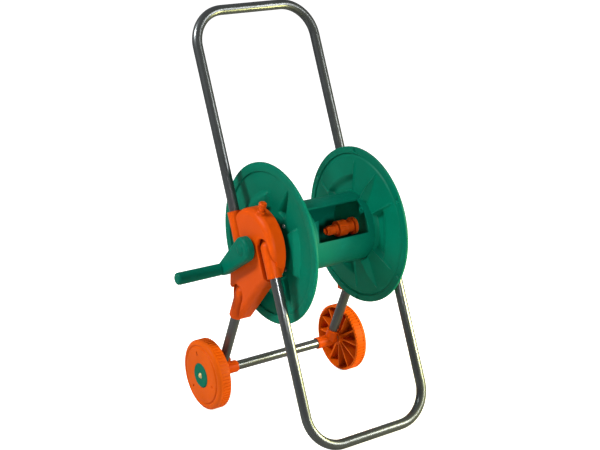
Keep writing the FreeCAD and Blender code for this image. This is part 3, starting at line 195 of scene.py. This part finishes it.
def moulding_group():
    """Outputs Color, Roughness and Height for moulded plastic."""
    tree = bpy.data.node_groups.new("moulded_skin", "ShaderNodeTree")
    socket(tree, "Base", "INPUT", "NodeSocketColor", (0.5, 0.5, 0.5, 1))
    socket(tree, "Rubbed", "INPUT", "NodeSocketColor", (0.8, 0.8, 0.8, 1))
    socket(tree, "Drift", "INPUT", value=0.12)
    socket(tree, "Rub", "INPUT", value=0.06)
    socket(tree, "Gloss Low", "INPUT", value=0.3)
    socket(tree, "Gloss High", "INPUT", value=0.45)
    socket(tree, "Grain Scale", "INPUT", value=1400.0)
    socket(tree, "Color", "OUTPUT", "NodeSocketColor")
    socket(tree, "Roughness", "OUTPUT")
    socket(tree, "Height", "OUTPUT")
    new, join = chain(tree)
    given, gone = new("NodeGroupInput"), new("NodeGroupOutput")
    where = new("ShaderNodeTexCoord")
    cloud = new("ShaderNodeTexNoise")
    cloud.inputs["Scale"].default_value = 14.0
    cloud.inputs["Detail"].default_value = 3.0
    join(where.outputs["Object"], cloud.inputs["Vector"])
    shade = new("ShaderNodeMapRange")
    join(cloud.outputs["Fac"], shade.inputs["Value"])
    shade.inputs["From Min"].default_value = 0.3
    shade.inputs["From Max"].default_value = 0.7
    shade.inputs["To Min"].default_value = 1.0
    low = new("ShaderNodeMath", operation="SUBTRACT")
    low.inputs[0].default_value = 1.0
    join(given.outputs["Drift"], low.inputs[1])
    join(low.outputs[0], shade.inputs["To Max"])
    dimmed = new("ShaderNodeVectorMath", operation="SCALE")
    join(given.outputs["Base"], dimmed.inputs[0])
    join(shade.outputs["Result"], dimmed.inputs["Scale"])
    scuff = new("ShaderNodeTexNoise")
    scuff.inputs["Scale"].default_value = 85.0
    scuff.inputs["Detail"].default_value = 6.0
    scuff.inputs["Distortion"].default_value = 1.5
    join(where.outputs["Object"], scuff.inputs["Vector"])
    picked = new("ShaderNodeMapRange")
    join(scuff.outputs["Fac"], picked.inputs["Value"])
    picked.inputs["From Min"].default_value = 0.58
    picked.inputs["From Max"].default_value = 0.78
    amount = new("ShaderNodeMath", operation="MULTIPLY")
    join(picked.outputs["Result"], amount.inputs[0])
    join(given.outputs["Rub"], amount.inputs[1])
    mixed = new("ShaderNodeMix", data_type="RGBA")
    join(amount.outputs[0], mixed.inputs["Factor"])
    join(dimmed.outputs[0], mixed.inputs["A"])
    join(given.outputs["Rubbed"], mixed.inputs["B"])
    join(mixed.outputs["Result"], gone.inputs["Color"])
    gloss = new("ShaderNodeMapRange")
    join(scuff.outputs["Fac"], gloss.inputs["Value"])
    gloss.inputs["From Min"].default_value = 0.35
    gloss.inputs["From Max"].default_value = 0.7
    join(given.outputs["Gloss Low"], gloss.inputs["To Min"])
    join(given.outputs["Gloss High"], gloss.inputs["To Max"])
    join(gloss.outputs["Result"], gone.inputs["Roughness"])
    grain = new("ShaderNodeTexNoise")
    grain.inputs["Detail"].default_value = 2.0
    join(where.outputs["Object"], grain.inputs["Vector"])
    join(given.outputs["Grain Scale"], grain.inputs["Scale"])
    join(grain.outputs["Fac"], gone.inputs["Height"])
    return tree


def tube_group():
    """Outputs Color, Roughness and Height for drawn tube, its lines laid along a turned Z axis."""
    tree = bpy.data.node_groups.new("drawn_steel", "ShaderNodeTree")
    socket(tree, "Base", "INPUT", "NodeSocketColor", (0.3, 0.3, 0.3, 1))
    socket(tree, "Turn", "INPUT", "NodeSocketVector", (0.0, 0.0, 0.0))
    socket(tree, "Drift", "INPUT", value=0.25)
    socket(tree, "Gloss Low", "INPUT", value=0.2)
    socket(tree, "Gloss High", "INPUT", value=0.35)
    socket(tree, "Color", "OUTPUT", "NodeSocketColor")
    socket(tree, "Roughness", "OUTPUT")
    socket(tree, "Height", "OUTPUT")
    new, join = chain(tree)
    given, gone = new("NodeGroupInput"), new("NodeGroupOutput")
    where = new("ShaderNodeTexCoord")
    turned = new("ShaderNodeVectorRotate", rotation_type="EULER_XYZ")
    join(where.outputs["Object"], turned.inputs["Vector"])
    join(given.outputs["Turn"], turned.inputs["Rotation"])
    drawn = new("ShaderNodeVectorMath", operation="MULTIPLY")
    drawn.inputs[1].default_value = (900.0, 900.0, 9.0)
    join(turned.outputs[0], drawn.inputs[0])
    lines = new("ShaderNodeTexNoise")
    lines.inputs["Scale"].default_value = 1.0
    lines.inputs["Detail"].default_value = 4.0
    join(drawn.outputs[0], lines.inputs["Vector"])
    cloud = new("ShaderNodeTexNoise")
    cloud.inputs["Scale"].default_value = 22.0
    cloud.inputs["Detail"].default_value = 3.0
    join(where.outputs["Object"], cloud.inputs["Vector"])
    both = new("ShaderNodeMath", operation="MULTIPLY")
    join(lines.outputs["Fac"], both.inputs[0])
    join(cloud.outputs["Fac"], both.inputs[1])
    shade = new("ShaderNodeMapRange")
    join(both.outputs[0], shade.inputs["Value"])
    shade.inputs["From Min"].default_value = 0.12
    shade.inputs["From Max"].default_value = 0.4
    shade.inputs["To Min"].default_value = 1.0
    low = new("ShaderNodeMath", operation="SUBTRACT")
    low.inputs[0].default_value = 1.0
    join(given.outputs["Drift"], low.inputs[1])
    join(low.outputs[0], shade.inputs["To Max"])
    dimmed = new("ShaderNodeVectorMath", operation="SCALE")
    join(given.outputs["Base"], dimmed.inputs[0])
    join(shade.outputs["Result"], dimmed.inputs["Scale"])
    join(dimmed.outputs[0], gone.inputs["Color"])
    gloss = new("ShaderNodeMapRange")
    join(lines.outputs["Fac"], gloss.inputs["Value"])
    gloss.inputs["From Min"].default_value = 0.3
    gloss.inputs["From Max"].default_value = 0.7
    join(given.outputs["Gloss Low"], gloss.inputs["To Min"])
    join(given.outputs["Gloss High"], gloss.inputs["To Max"])
    join(gloss.outputs["Result"], gone.inputs["Roughness"])
    join(lines.outputs["Fac"], gone.inputs["Height"])
    return tree


SKIN, DRAWN = moulding_group(), tube_group()
print("shared effects", SKIN.name, DRAWN.name)

# %% [markdown]
# ## The finishes
# Each finish places a shared group in a material of its own. Values that are the same all over, such as
# the coat on a tube, sit on the shader's own sockets.

# %% Finishes
def finish(name, group, values, bump_depth, metallic=0.0, coat=0.0, coat_rough=0.1, specular=0.06):
    """A material whose colour, roughness and bump come from a shared group."""
    made = bpy.data.materials.new(name)
    made.use_nodes = True
    tree = made.node_tree
    new, join = chain(tree)
    shader = tree.nodes["Principled BSDF"]
    effect = new("ShaderNodeGroup", node_tree=group)
    for key, value in values.items():
        effect.inputs[key].default_value = value
    join(effect.outputs["Color"], shader.inputs["Base Color"])
    join(effect.outputs["Roughness"], shader.inputs["Roughness"])
    bump = new("ShaderNodeBump")
    bump.inputs["Strength"].default_value = 1.0
    bump.inputs["Distance"].default_value = bump_depth
    join(effect.outputs["Height"], bump.inputs["Height"])
    join(bump.outputs["Normal"], shader.inputs["Normal"])
    shader.inputs["Metallic"].default_value = metallic
    shader.inputs["Coat Weight"].default_value = coat
    shader.inputs["Coat Roughness"].default_value = coat_rough
    shader.inputs["Specular IOR Level"].default_value = specular
    return made


green_moulding = finish("green_moulding", SKIN, {
    "Base": (0.0, 0.122, 0.071, 1), "Rubbed": (0.0, 0.18, 0.12, 1), "Drift": 0.16, "Rub": 0.22,
    "Gloss Low": 0.34, "Gloss High": 0.5, "Grain Scale": 1300.0}, 0.00003)
green_core = finish("green_core", SKIN, {
    "Base": (0.0, 0.108, 0.066, 1), "Rubbed": (0.0, 0.17, 0.12, 1), "Drift": 0.2, "Rub": 0.25,
    "Gloss Low": 0.38, "Gloss High": 0.55, "Grain Scale": 1100.0}, 0.00004)
green_grip = finish("green_grip", SKIN, {
    "Base": (0.0, 0.115, 0.07, 1), "Rubbed": (0.0, 0.18, 0.13, 1), "Drift": 0.18, "Rub": 0.3,
    "Gloss Low": 0.3, "Gloss High": 0.48, "Grain Scale": 1700.0}, 0.00003)
orange_moulding = finish("orange_moulding", SKIN, {
    "Base": (0.53, 0.059, 0.001, 1), "Rubbed": (0.62, 0.1, 0.004, 1), "Drift": 0.1, "Rub": 0.16,
    "Gloss Low": 0.32, "Gloss High": 0.46, "Grain Scale": 1300.0}, 0.00003)
orange_tyre = finish("orange_wheel", SKIN, {
    "Base": (0.57, 0.08, 0.001, 1), "Rubbed": (0.66, 0.12, 0.004, 1), "Drift": 0.14, "Rub": 0.25,
    "Gloss Low": 0.4, "Gloss High": 0.58, "Grain Scale": 1000.0}, 0.00005)
orange_fitting = finish("orange_fitting", SKIN, {
    "Base": (0.5, 0.06, 0.003, 1), "Rubbed": (0.85, 0.3, 0.12, 1), "Drift": 0.12, "Rub": 0.2,
    "Gloss Low": 0.25, "Gloss High": 0.4, "Grain Scale": 2000.0}, 0.00002)
black_rubber = finish("black_seal", SKIN, {
    "Base": (0.02, 0.02, 0.02, 1), "Rubbed": (0.08, 0.08, 0.08, 1), "Drift": 0.2, "Rub": 0.3,
    "Gloss Low": 0.5, "Gloss High": 0.7, "Grain Scale": 2200.0}, 0.00002)

LEAN, LEG_LEAN = math.radians(19.7), -0.4635
TUBE_BASE = (0.105, 0.115, 0.117, 1)
side_tube = finish("side_tube_steel", DRAWN, {
    "Base": TUBE_BASE, "Turn": (LEAN, 0.0, 0.0),
    "Drift": 0.3, "Gloss Low": 0.26, "Gloss High": 0.36},
    0.000003, metallic=0.75, coat=0.35, coat_rough=0.16, specular=0.4)
leg_steel = finish("leg_tube_steel", DRAWN, {
    "Base": (0.13, 0.14, 0.142, 1), "Turn": (LEG_LEAN, 0.0, 0.0),
    "Drift": 0.3, "Gloss Low": 0.26, "Gloss High": 0.38},
    0.000003, metallic=0.75, coat=0.35, coat_rough=0.16, specular=0.4)
axle_steel = finish("axle_tube_steel", DRAWN, {
    "Base": (0.15, 0.16, 0.162, 1), "Turn": (0.0, math.pi / 2, 0.0),
    "Drift": 0.3, "Gloss Low": 0.2, "Gloss High": 0.3},
    0.000003, metallic=0.8, coat=0.5, coat_rough=0.12, specular=0.4)
zinc_screw = finish("zinc_screw", DRAWN, {
    "Base": (0.55, 0.55, 0.53, 1), "Turn": (0.0, 0.0, 0.0), "Drift": 0.2, "Gloss Low": 0.25, "Gloss High": 0.4},
    0.00001, metallic=1.0)
yellow_zinc = finish("yellow_zinc", DRAWN, {
    "Base": (0.72, 0.6, 0.28, 1), "Turn": (0.0, math.pi / 2, 0.0),
    "Drift": 0.2, "Gloss Low": 0.3, "Gloss High": 0.45},
    0.00001, metallic=0.6)

# %% [markdown]
# ## Dressing the CAD nodes
# Tubes, brackets, fittings and screws keep their CAD shape and only take a finish in their slots. A node
# that the table doesn't name is a screw or washer if its name says so, and an orange moulding if not.

# %% Finishes on the nodes that keep their CAD shape
KEPT = {
    "handle_tube": side_tube, "foot_tube": side_tube, "leg_tube_left": leg_steel, "leg_tube_right": leg_steel,
    "axle_tube": axle_steel, "axle_rod": zinc_screw, "drum_core": green_core, "crank_arm": green_grip,
    "crank_grip": green_grip, "crank_screw": green_grip,
    "wheel_cap_left": green_moulding, "wheel_cap_right": green_moulding,
    "inlet_seals": black_rubber, "push_nut_left": yellow_zinc, "push_nut_right": yellow_zinc,
    "drum_connector": orange_fitting, "connector_nut": orange_fitting,
}
for node_name, node_object in frame["nodes"].items():
    paint = KEPT.get(node_name)
    if paint is None:
        steel = "screw" in node_name or "washer" in node_name or "pin" == node_name.split("_")[-1]
        paint = zinc_screw if steel else orange_moulding
    if not node_object.material_slots:
        node_object.data.materials.append(paint)
    for place in node_object.material_slots:
        place.material = paint
print("dressed", len(frame["nodes"]), "nodes")

# %% [markdown]
# ## The reel's flanges
# Each flange is one thin moulding: a flat rim band round a dished web, and the web is pressed into three
# deep pockets beside the drum with a wedge fold between each two. The same relief shows on both faces, so
# it is a height over a round grid that both faces share. A groove on the drum's side and a step on the
# outer side set off the rim, and the edge and the journal close the shell.

# %% Relief of a flange
FLANGE_RAD, RIM_IN = 149.65, 137.0
WEB_IN, WEB_THICK = 91.0, 2.4
CORE_RAD, JOURNAL_RAD = 65.0, 16.0
RIM_INNER, RIM_OUTER = 96.8, 102.4
GROOVE_FLOOR = 99.3
DISH_START, DISH_END, RIM_START = CORE_RAD + 3, 131.0, 134.0
POCKETS = (60.0, 180.0, 300.0)
RIBS = (0.0, 120.0, 240.0)


def step(low, high, value):
    """Smooth rise from 0 to 1."""
    t = np.clip((value - low) / (high - low), 0.0, 1.0)
    return t * t * (3.0 - 2.0 * t)


def off_angle(angle, middle):
    return (angle - middle + 180.0) % 360.0 - 180.0


def web_relief(radius, angle):
    """How far the web is pressed away from the drum, in mm."""
    pressed = np.zeros_like(angle)
    for middle in POCKETS:
        away = off_angle(angle, middle)
        chord = radius * np.cos(np.radians(away))
        along = radius * np.sin(np.radians(away))
        side = 1.0 - step(26.0, 30.0, np.abs(away))
        floor_part = 1.0 - step(79.0, 82.0 + np.clip(14.0 * (1.0 - (along / 60.0) ** 2), 0.0, None), chord)
        pressed = np.maximum(pressed, 8.5 * side * floor_part * step(66.0, 68.0, radius))
    for middle in RIBS:
        away = np.abs(off_angle(angle, middle)) * np.pi / 180.0 * radius
        width = np.interp(radius, (66.0, 129.0), (13.0, 2.0))
        height = np.interp(radius, (66.0, 100.0, 129.0), (12.0, 9.5, 0.0))
        pressed = pressed - height * np.clip(1.0 - away / width, 0.0, 1.0) * step(66.0, 70.0, radius)
    return pressed


def wall_ribs(radius, angle):
    """Low ribs on the drum side, along the pockets' side walls."""
    raised = np.zeros_like(angle)
    for middle in POCKETS:
        for edge in (-30.0, 30.0):
            away = np.abs(off_angle(angle, middle + edge)) * np.pi / 180.0 * radius
            raised = raised + 2.4 * np.clip(1.4 - away / 1.8, 0.0, 1.0) * step(66.0, 70.0, radius) \
                * (1.0 - step(118.0, 128.0, radius))
    return raised


def rim_notches(radius, angle):
    """Shallow moulding marks round the rim band."""
    depth = np.zeros_like(angle)
    for middle in range(30, 390, 60):
        away = np.abs(off_angle(angle, float(middle))) * np.pi / 180.0 * radius
        band = step(138.5, 139.5, radius) * (1.0 - step(146.0, 147.0, radius))
        depth = depth + 2.2 * (1.0 - step(3.2, 4.0, away)) * band
    return depth


# %% [markdown]
# ## A closed shell from rings
# Turned pieces are rings of points about an axis, joined by quads. Where the radius runs to nothing the
# ring is one point. Doubles are merged before the normals are set, so that all faces point outwards.

# %% Build a closed shell from rings
def ring_shell(name, rings, sides):
    """A closed mesh from rings of points; a ring of one point is a pole."""
    points, starts = [], []
    for ring in rings:
        starts.append(len(points))
        points.extend(ring)
    faces = []
    for here, there, ring, following in zip(starts, starts[1:], rings, rings[1:]):
        for i in range(sides):
            j = (i + 1) % sides
            if len(ring) == 1:
                faces.append((here, there + i, there + j))
            elif len(following) == 1:
                faces.append((here + i, there, here + j))
            else:
                faces.append((here + i, there + i, there + j, here + j))
    mesh = bpy.data.meshes.new(name)
    mesh.from_pydata([tuple(p) for p in points], [], faces)
    work = bmesh.new()
    work.from_mesh(mesh)
    bmesh.ops.remove_doubles(work, verts=work.verts, dist=1e-7)
    bmesh.ops.recalc_face_normals(work, faces=work.faces)
    work.to_mesh(mesh)
    work.free()
    made = bpy.data.objects.new(name, mesh)
    scene.collection.objects.link(made)
    return made


def shade(piece, angle=32.0):
    """Smooth shading that keeps edges sharper than an angle."""
    for face in piece.data.polygons:
        face.use_smooth = True
    work = bmesh.new()
    work.from_mesh(piece.data)
    limit = math.radians(angle)
    for edge in work.edges:
        if len(edge.link_faces) == 2 and edge.calc_face_angle(0.0) > limit:
            edge.smooth = False
    work.to_mesh(piece.data)
    work.free()
    return piece


def about_reel(x, radius, angle, side):
    """A point beside the reel axis; side is -1 on the crank's side."""
    return (MIDDLE + side * x * MM, REEL.y + radius * math.cos(math.radians(angle)) * MM,
            REEL.z + radius * math.sin(math.radians(angle)) * MM)


# %% [markdown]
# ## Turning the flange
# The rings run from the middle of the drum's side out over the groove and the rim's rounded edge, then
# back in over the outer side to the journal's end.

# %% Both flanges
def flange(name, side, journal_end):
    """One flange with its journal, as a closed shell."""
    sides = 360
    angles = np.arange(sides, dtype=float)
    rings = [[about_reel(WEB_IN, 0.0, 0.0, side)]]

    def ring(x, radius):
        xs = np.broadcast_to(x, (sides,))
        rings.append([about_reel(xs[i], radius, angles[i], side) for i in range(sides)])
    inner = [20.0, 40.0, 60.0, 64.9] + list(np.arange(66.0, 137.1, 1.3))
    for radius in inner:
        dish = np.interp(radius, (DISH_START, DISH_END, RIM_START, RIM_IN),
                         (WEB_IN, RIM_INNER, GROOVE_FLOOR, GROOVE_FLOOR))
        ring(dish + web_relief(radius, angles) - wall_ribs(radius, angles), radius)
    for radius in (137.6, 138.5, 139.6, 141.0, 143.0, 145.0, 146.0, 147.2, 148.2):
        ring(RIM_INNER + rim_notches(radius, angles), radius)
    for k in range(5):
        bend = math.radians(90.0 * k / 4)
        ring(RIM_INNER + 1.5 - 1.5 * math.cos(bend), FLANGE_RAD - 1.5 + 1.5 * math.sin(bend))
    for k in range(5):
        bend = math.radians(90.0 * k / 4)
        ring(RIM_OUTER - 1.5 + 1.5 * math.sin(bend), FLANGE_RAD - 1.5 + 1.5 * math.cos(bend))
    for radius, x in ((145.0, RIM_OUTER), (134.4, RIM_OUTER),
                      (133.4, RIM_OUTER - 0.4), (132.8, RIM_OUTER - 1.4)):
        ring(x, radius)
    for radius in [r for r in reversed(inner[4:]) if r < 132.4]:
        dish = np.interp(radius, (DISH_START, DISH_END, RIM_START), (WEB_IN, RIM_INNER, RIM_INNER))
        ring(dish + WEB_THICK + web_relief(radius, angles), radius)
    for radius in (60.0, 40.0, 24.0):
        ring(WEB_IN + WEB_THICK, radius)
    ring(WEB_IN + WEB_THICK + 1.0, JOURNAL_RAD + 1.0)
    ring(WEB_IN + WEB_THICK + 2.5, JOURNAL_RAD)
    ring(journal_end - 1.0, JOURNAL_RAD)
    ring(journal_end, JOURNAL_RAD - 1.0)
    rings.append([about_reel(journal_end, 0.0, 0.0, side)])
    piece = shade(ring_shell(name, rings, sides), 35.0)
    piece.data.materials.append(green_moulding)
    print(name, len(piece.data.polygons), "faces")
    return piece


JOURNAL_LEFT, JOURNAL_RIGHT = 147.0, 131.5
flange_left = flange("flange_left_moulding", -1, JOURNAL_LEFT)
flange_right = flange("flange_right_moulding", 1, JOURNAL_RIGHT)
for piece, node_name in ((flange_left, "flange_left"), (flange_right, "flange_right")):
    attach(piece, "reel")
    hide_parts(node_name)

# %% [markdown]
# ## The crank's hub cap
# The crank ends over the reel axis in a smooth dome that hides its screw, so a low turned cap closes the
# screw's recess. Its foot is sunk a little into the CAD arm, whose outer face is measured first.

# %% Crank hub cap
ARM_FACE = min(v.co.x for v in frame["nodes"]["crank_arm"].data.vertices
               if math.hypot(v.co.y - REEL.y, v.co.z - REEL.z) < 14.0 * MM)
ARM_OUT = (MIDDLE - ARM_FACE) / MM
CAP_FOOT, CAP_RISE, CAP_SINK = 11.0, 2.6, 0.6
cap_rings = [[about_reel(ARM_OUT - CAP_SINK, 0.0, 0.0, -1)]]
for k in range(9):
    bend = math.radians(90.0 * k / 9)
    cap_rings.append([about_reel(ARM_OUT - CAP_SINK + (CAP_RISE + CAP_SINK) * math.sin(bend),
                                 CAP_FOOT * math.cos(bend), 5.0 * i, -1) for i in range(72)])
cap_rings.append([about_reel(ARM_OUT + CAP_RISE, 0.0, 0.0, -1)])
hub_dome = shade(ring_shell("crank_hub_dome", cap_rings, 72), 50.0)
hub_dome.data.materials.append(green_grip)
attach(hub_dome, "reel")
print("crank arm's outer face", round(ARM_OUT, 1), "mm out")

# %% [markdown]
# ## The wheels
# A wheel is an open-backed moulding. Its disc, tread and hub are one turned profile; the ribs inside and the
# fine bars round the tread repeat, so Geometry Nodes set them out from a count.

# %% Wheel profile
AXLE = hinge_at["wheel_left_spin"]
WHEEL_RAD, TREAD_BAR = 69.0, 1.4
WHEEL_IN = 149.0
HUB_IN, CAP_RAD = 146.3, 24.4


def about_axle(x, radius, angle, side):
    return (MIDDLE + side * x * MM, AXLE.y + radius * math.cos(math.radians(angle)) * MM,
            AXLE.z + radius * math.sin(math.radians(angle)) * MM)


def wheel_body(name, side):
    """The turned part, from the hub's bore round the outer face and tread and back along the inside."""
    base = WHEEL_RAD - TREAD_BAR
    profile = [(HUB_IN, 4.1), (175.1, 4.1), (175.1, CAP_RAD), (176.5, CAP_RAD), (177.0, CAP_RAD + 0.5),
               (177.0, 53.6), (176.8, 54.6), (175.9, 55.6), (174.9, 56.1), (174.4, 57.0), (174.7, 58.2),
               (175.8, 59.4), (176.2, 60.4), (176.1, 62.0), (175.6, 63.8), (174.7, 65.6), (173.5, 67.2),
               (172.0, 68.3), (170.2, WHEEL_RAD), (167.6, WHEEL_RAD), (167.2, base), (150.4, base),
               (149.3, base - 0.5), (WHEEL_IN, base - 1.4), (WHEEL_IN, WHEEL_RAD - 4.6),
               (150.0, WHEEL_RAD - 5.0),
               (172.0, WHEEL_RAD - 6.5), (173.0, WHEEL_RAD - 8.0), (173.0, 28.5), (172.0, 25.5), (171.6, 14.0),
               (147.0, 14.0), (HUB_IN, 13.2)]
    sides = 144
    rings = [[about_axle(x, radius, 360.0 * i / sides, side) for i in range(sides)] for x, radius in profile]
    rings.append(rings[0])
    piece = ring_shell(name, rings, sides)
    cut_slots(piece, side)
    shade(piece, 28.0)
    piece.data.materials.clear()
    piece.data.materials.append(orange_tyre)
    return piece


# %% [markdown]
# ## Slots through the wheel's face
# Three short slots let the mould's core pins through. They are real holes, so a Boolean cuts them with one
# cutter that holds all three, and the cut mesh then takes the place of the first.

# %% Slots
SLOT_TURNS = (75.0, 195.0, 315.0)


def cut_slots(piece, side):
    """Three short slots through a wheel's face, a third of a turn apart."""
    work = bmesh.new()
    for turn in SLOT_TURNS:
        c, t = math.cos(math.radians(turn)), math.sin(math.radians(turn))
        made = bmesh.ops.create_cube(work, size=1.0)["verts"]
        for corner in made:
            x, along, across = corner.co.x * 10.0, 43.0 + corner.co.y * 8.0, corner.co.z * 3.2
            corner.co = Vector((MIDDLE + side * (175.0 + x) * MM, AXLE.y + (c * along - t * across) * MM,
                                AXLE.z + (t * along + c * across) * MM))
    bmesh.ops.recalc_face_normals(work, faces=work.faces)
    mesh = bpy.data.meshes.new("slot_cutter")
    work.to_mesh(mesh)
    work.free()
    cutter = bpy.data.objects.new("slot_cutter", mesh)
    scene.collection.objects.link(cutter)
    cut = piece.modifiers.new("slots", "BOOLEAN")
    cut.operation, cut.solver, cut.object = "DIFFERENCE", "EXACT", cutter
    graph = bpy.context.evaluated_depsgraph_get()
    graph.update()
    result = bpy.data.meshes.new_from_object(piece.evaluated_get(graph))
    piece.modifiers.clear()
    piece.data = result
    bpy.data.objects.remove(cutter)


# %% [markdown]
# ## What repeats round a wheel
# The fine bars of the tread and the ribs inside are copies of one bar each. Geometry Nodes set them on a
# circle, turn each one outwards and make them real, and the result is kept as a plain mesh.

# %% One bar, and the tree that repeats it
def bar_mesh(name, length, width, height, round_by):
    """One bar along X standing on z = 0, with a rounded top and ends."""
    work = bmesh.new()
    bmesh.ops.create_cube(work, size=1.0)
    for corner in work.verts:
        corner.co = Vector((corner.co.x * length, corner.co.y * width, (corner.co.z + 0.5) * height))
    tops = [e for e in work.edges if all(v.co.z > height * 0.5 for v in e.verts)]
    bmesh.ops.bevel(work, geom=tops, offset=round_by, segments=2, affect="EDGES", profile=0.6)
    mesh = bpy.data.meshes.new(name)
    work.to_mesh(mesh)
    work.free()
    made = bpy.data.objects.new(name, mesh)
    scene.collection.objects.link(made)
    return made


def ring_tree():
    """Geometry Nodes: copies of one piece round a circle in the YZ plane, turned outwards."""
    tree = bpy.data.node_groups.new("set_round_a_wheel", "GeometryNodeTree")
    socket(tree, "Geometry", "INPUT", "NodeSocketGeometry")
    socket(tree, "Piece", "INPUT", "NodeSocketObject")
    socket(tree, "Finish", "INPUT", "NodeSocketMaterial")
    socket(tree, "Count", "INPUT", "NodeSocketInt", 8)
    socket(tree, "Radius", "INPUT", value=0.05)
    socket(tree, "Middle", "INPUT", "NodeSocketVector", (0.0, 0.0, 0.0))
    socket(tree, "Geometry", "OUTPUT", "NodeSocketGeometry")
    new, join = chain(tree)
    given, gone = new("NodeGroupInput"), new("NodeGroupOutput")
    ring = new("GeometryNodeMeshCircle")
    join(given.outputs["Count"], ring.inputs["Vertices"])
    join(given.outputs["Radius"], ring.inputs["Radius"])
    stand = new("GeometryNodeTransform")
    join(ring.outputs["Mesh"], stand.inputs["Geometry"])
    stand.inputs["Rotation"].default_value = (0.0, math.pi / 2, 0.0)
    spot = new("GeometryNodeInputPosition")
    outward = new("FunctionNodeAlignEulerToVector", axis="Z", pivot_axis="X")
    join(spot.outputs[0], outward.inputs["Vector"])
    source = new("GeometryNodeObjectInfo")
    join(given.outputs["Piece"], source.inputs["Object"])
    copies = new("GeometryNodeInstanceOnPoints")
    join(stand.outputs["Geometry"], copies.inputs["Points"])
    join(source.outputs["Geometry"], copies.inputs["Instance"])
    join(outward.outputs["Rotation"], copies.inputs["Rotation"])
    place = new("GeometryNodeTransform")
    join(copies.outputs["Instances"], place.inputs["Geometry"])
    join(given.outputs["Middle"], place.inputs["Translation"])
    real = new("GeometryNodeRealizeInstances")
    join(place.outputs["Geometry"], real.inputs["Geometry"])
    dress = new("GeometryNodeSetMaterial")
    join(real.outputs["Geometry"], dress.inputs["Geometry"])
    join(given.outputs["Finish"], dress.inputs["Material"])
    join(dress.outputs["Geometry"], gone.inputs["Geometry"])
    return tree


ROUND = ring_tree()


def set_round(name, piece, paint, count, radius, middle):
    """Run the ring tree once and keep its result as a plain mesh."""
    carrier = bpy.data.objects.new(name + "_carrier", bpy.data.meshes.new(name + "_carrier"))
    scene.collection.objects.link(carrier)
    modifier = carrier.modifiers.new("round", "NODES")
    modifier.node_group = ROUND
    ids = {s.name: s.identifier for s in ROUND.interface.items_tree if s.in_out == "INPUT"}
    modifier[ids["Piece"]] = piece
    modifier[ids["Finish"]] = paint
    modifier[ids["Count"]] = count
    modifier[ids["Radius"]] = radius
    modifier[ids["Middle"]] = middle
    graph = bpy.context.evaluated_depsgraph_get()
    graph.update()
    mesh = bpy.data.meshes.new_from_object(carrier.evaluated_get(graph))
    mesh.name = name
    made = bpy.data.objects.new(name, mesh)
    scene.collection.objects.link(made)
    bpy.data.objects.remove(carrier)
    print(name, len(mesh.polygons), "faces")
    return made


# %% Both wheels
TREAD_BARS, INNER_RIBS = 64, 12
tread_bar = bar_mesh("tread_bar", 0.0168, 0.0032, (TREAD_BAR + 0.5) * MM, 0.0004)
rib_long = bar_mesh("inner_rib", 0.0215, 0.0034, 0.050, 0.0005)
for side, label in ((-1, "left"), (1, "right")):
    body = "wheel_" + label + "_body"
    moulding = wheel_body("wheel_" + label + "_moulding", side)
    treads = set_round("tread_bars_" + label, tread_bar, orange_tyre, TREAD_BARS,
                       (WHEEL_RAD - TREAD_BAR - 0.5) * MM, (MIDDLE + side * 158.9 * MM, AXLE.y, AXLE.z))
    inner = set_round("inner_ribs_" + label, rib_long, orange_tyre, INNER_RIBS,
                      13.0 * MM, (MIDDLE + side * 163.0 * MM, AXLE.y, AXLE.z))
    for piece in (moulding, treads, inner):
        if piece is not moulding:
            shade(piece)
        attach(piece, body)
    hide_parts("wheel_" + label)
for source in (tread_bar, rib_long):
    bpy.data.objects.remove(source)
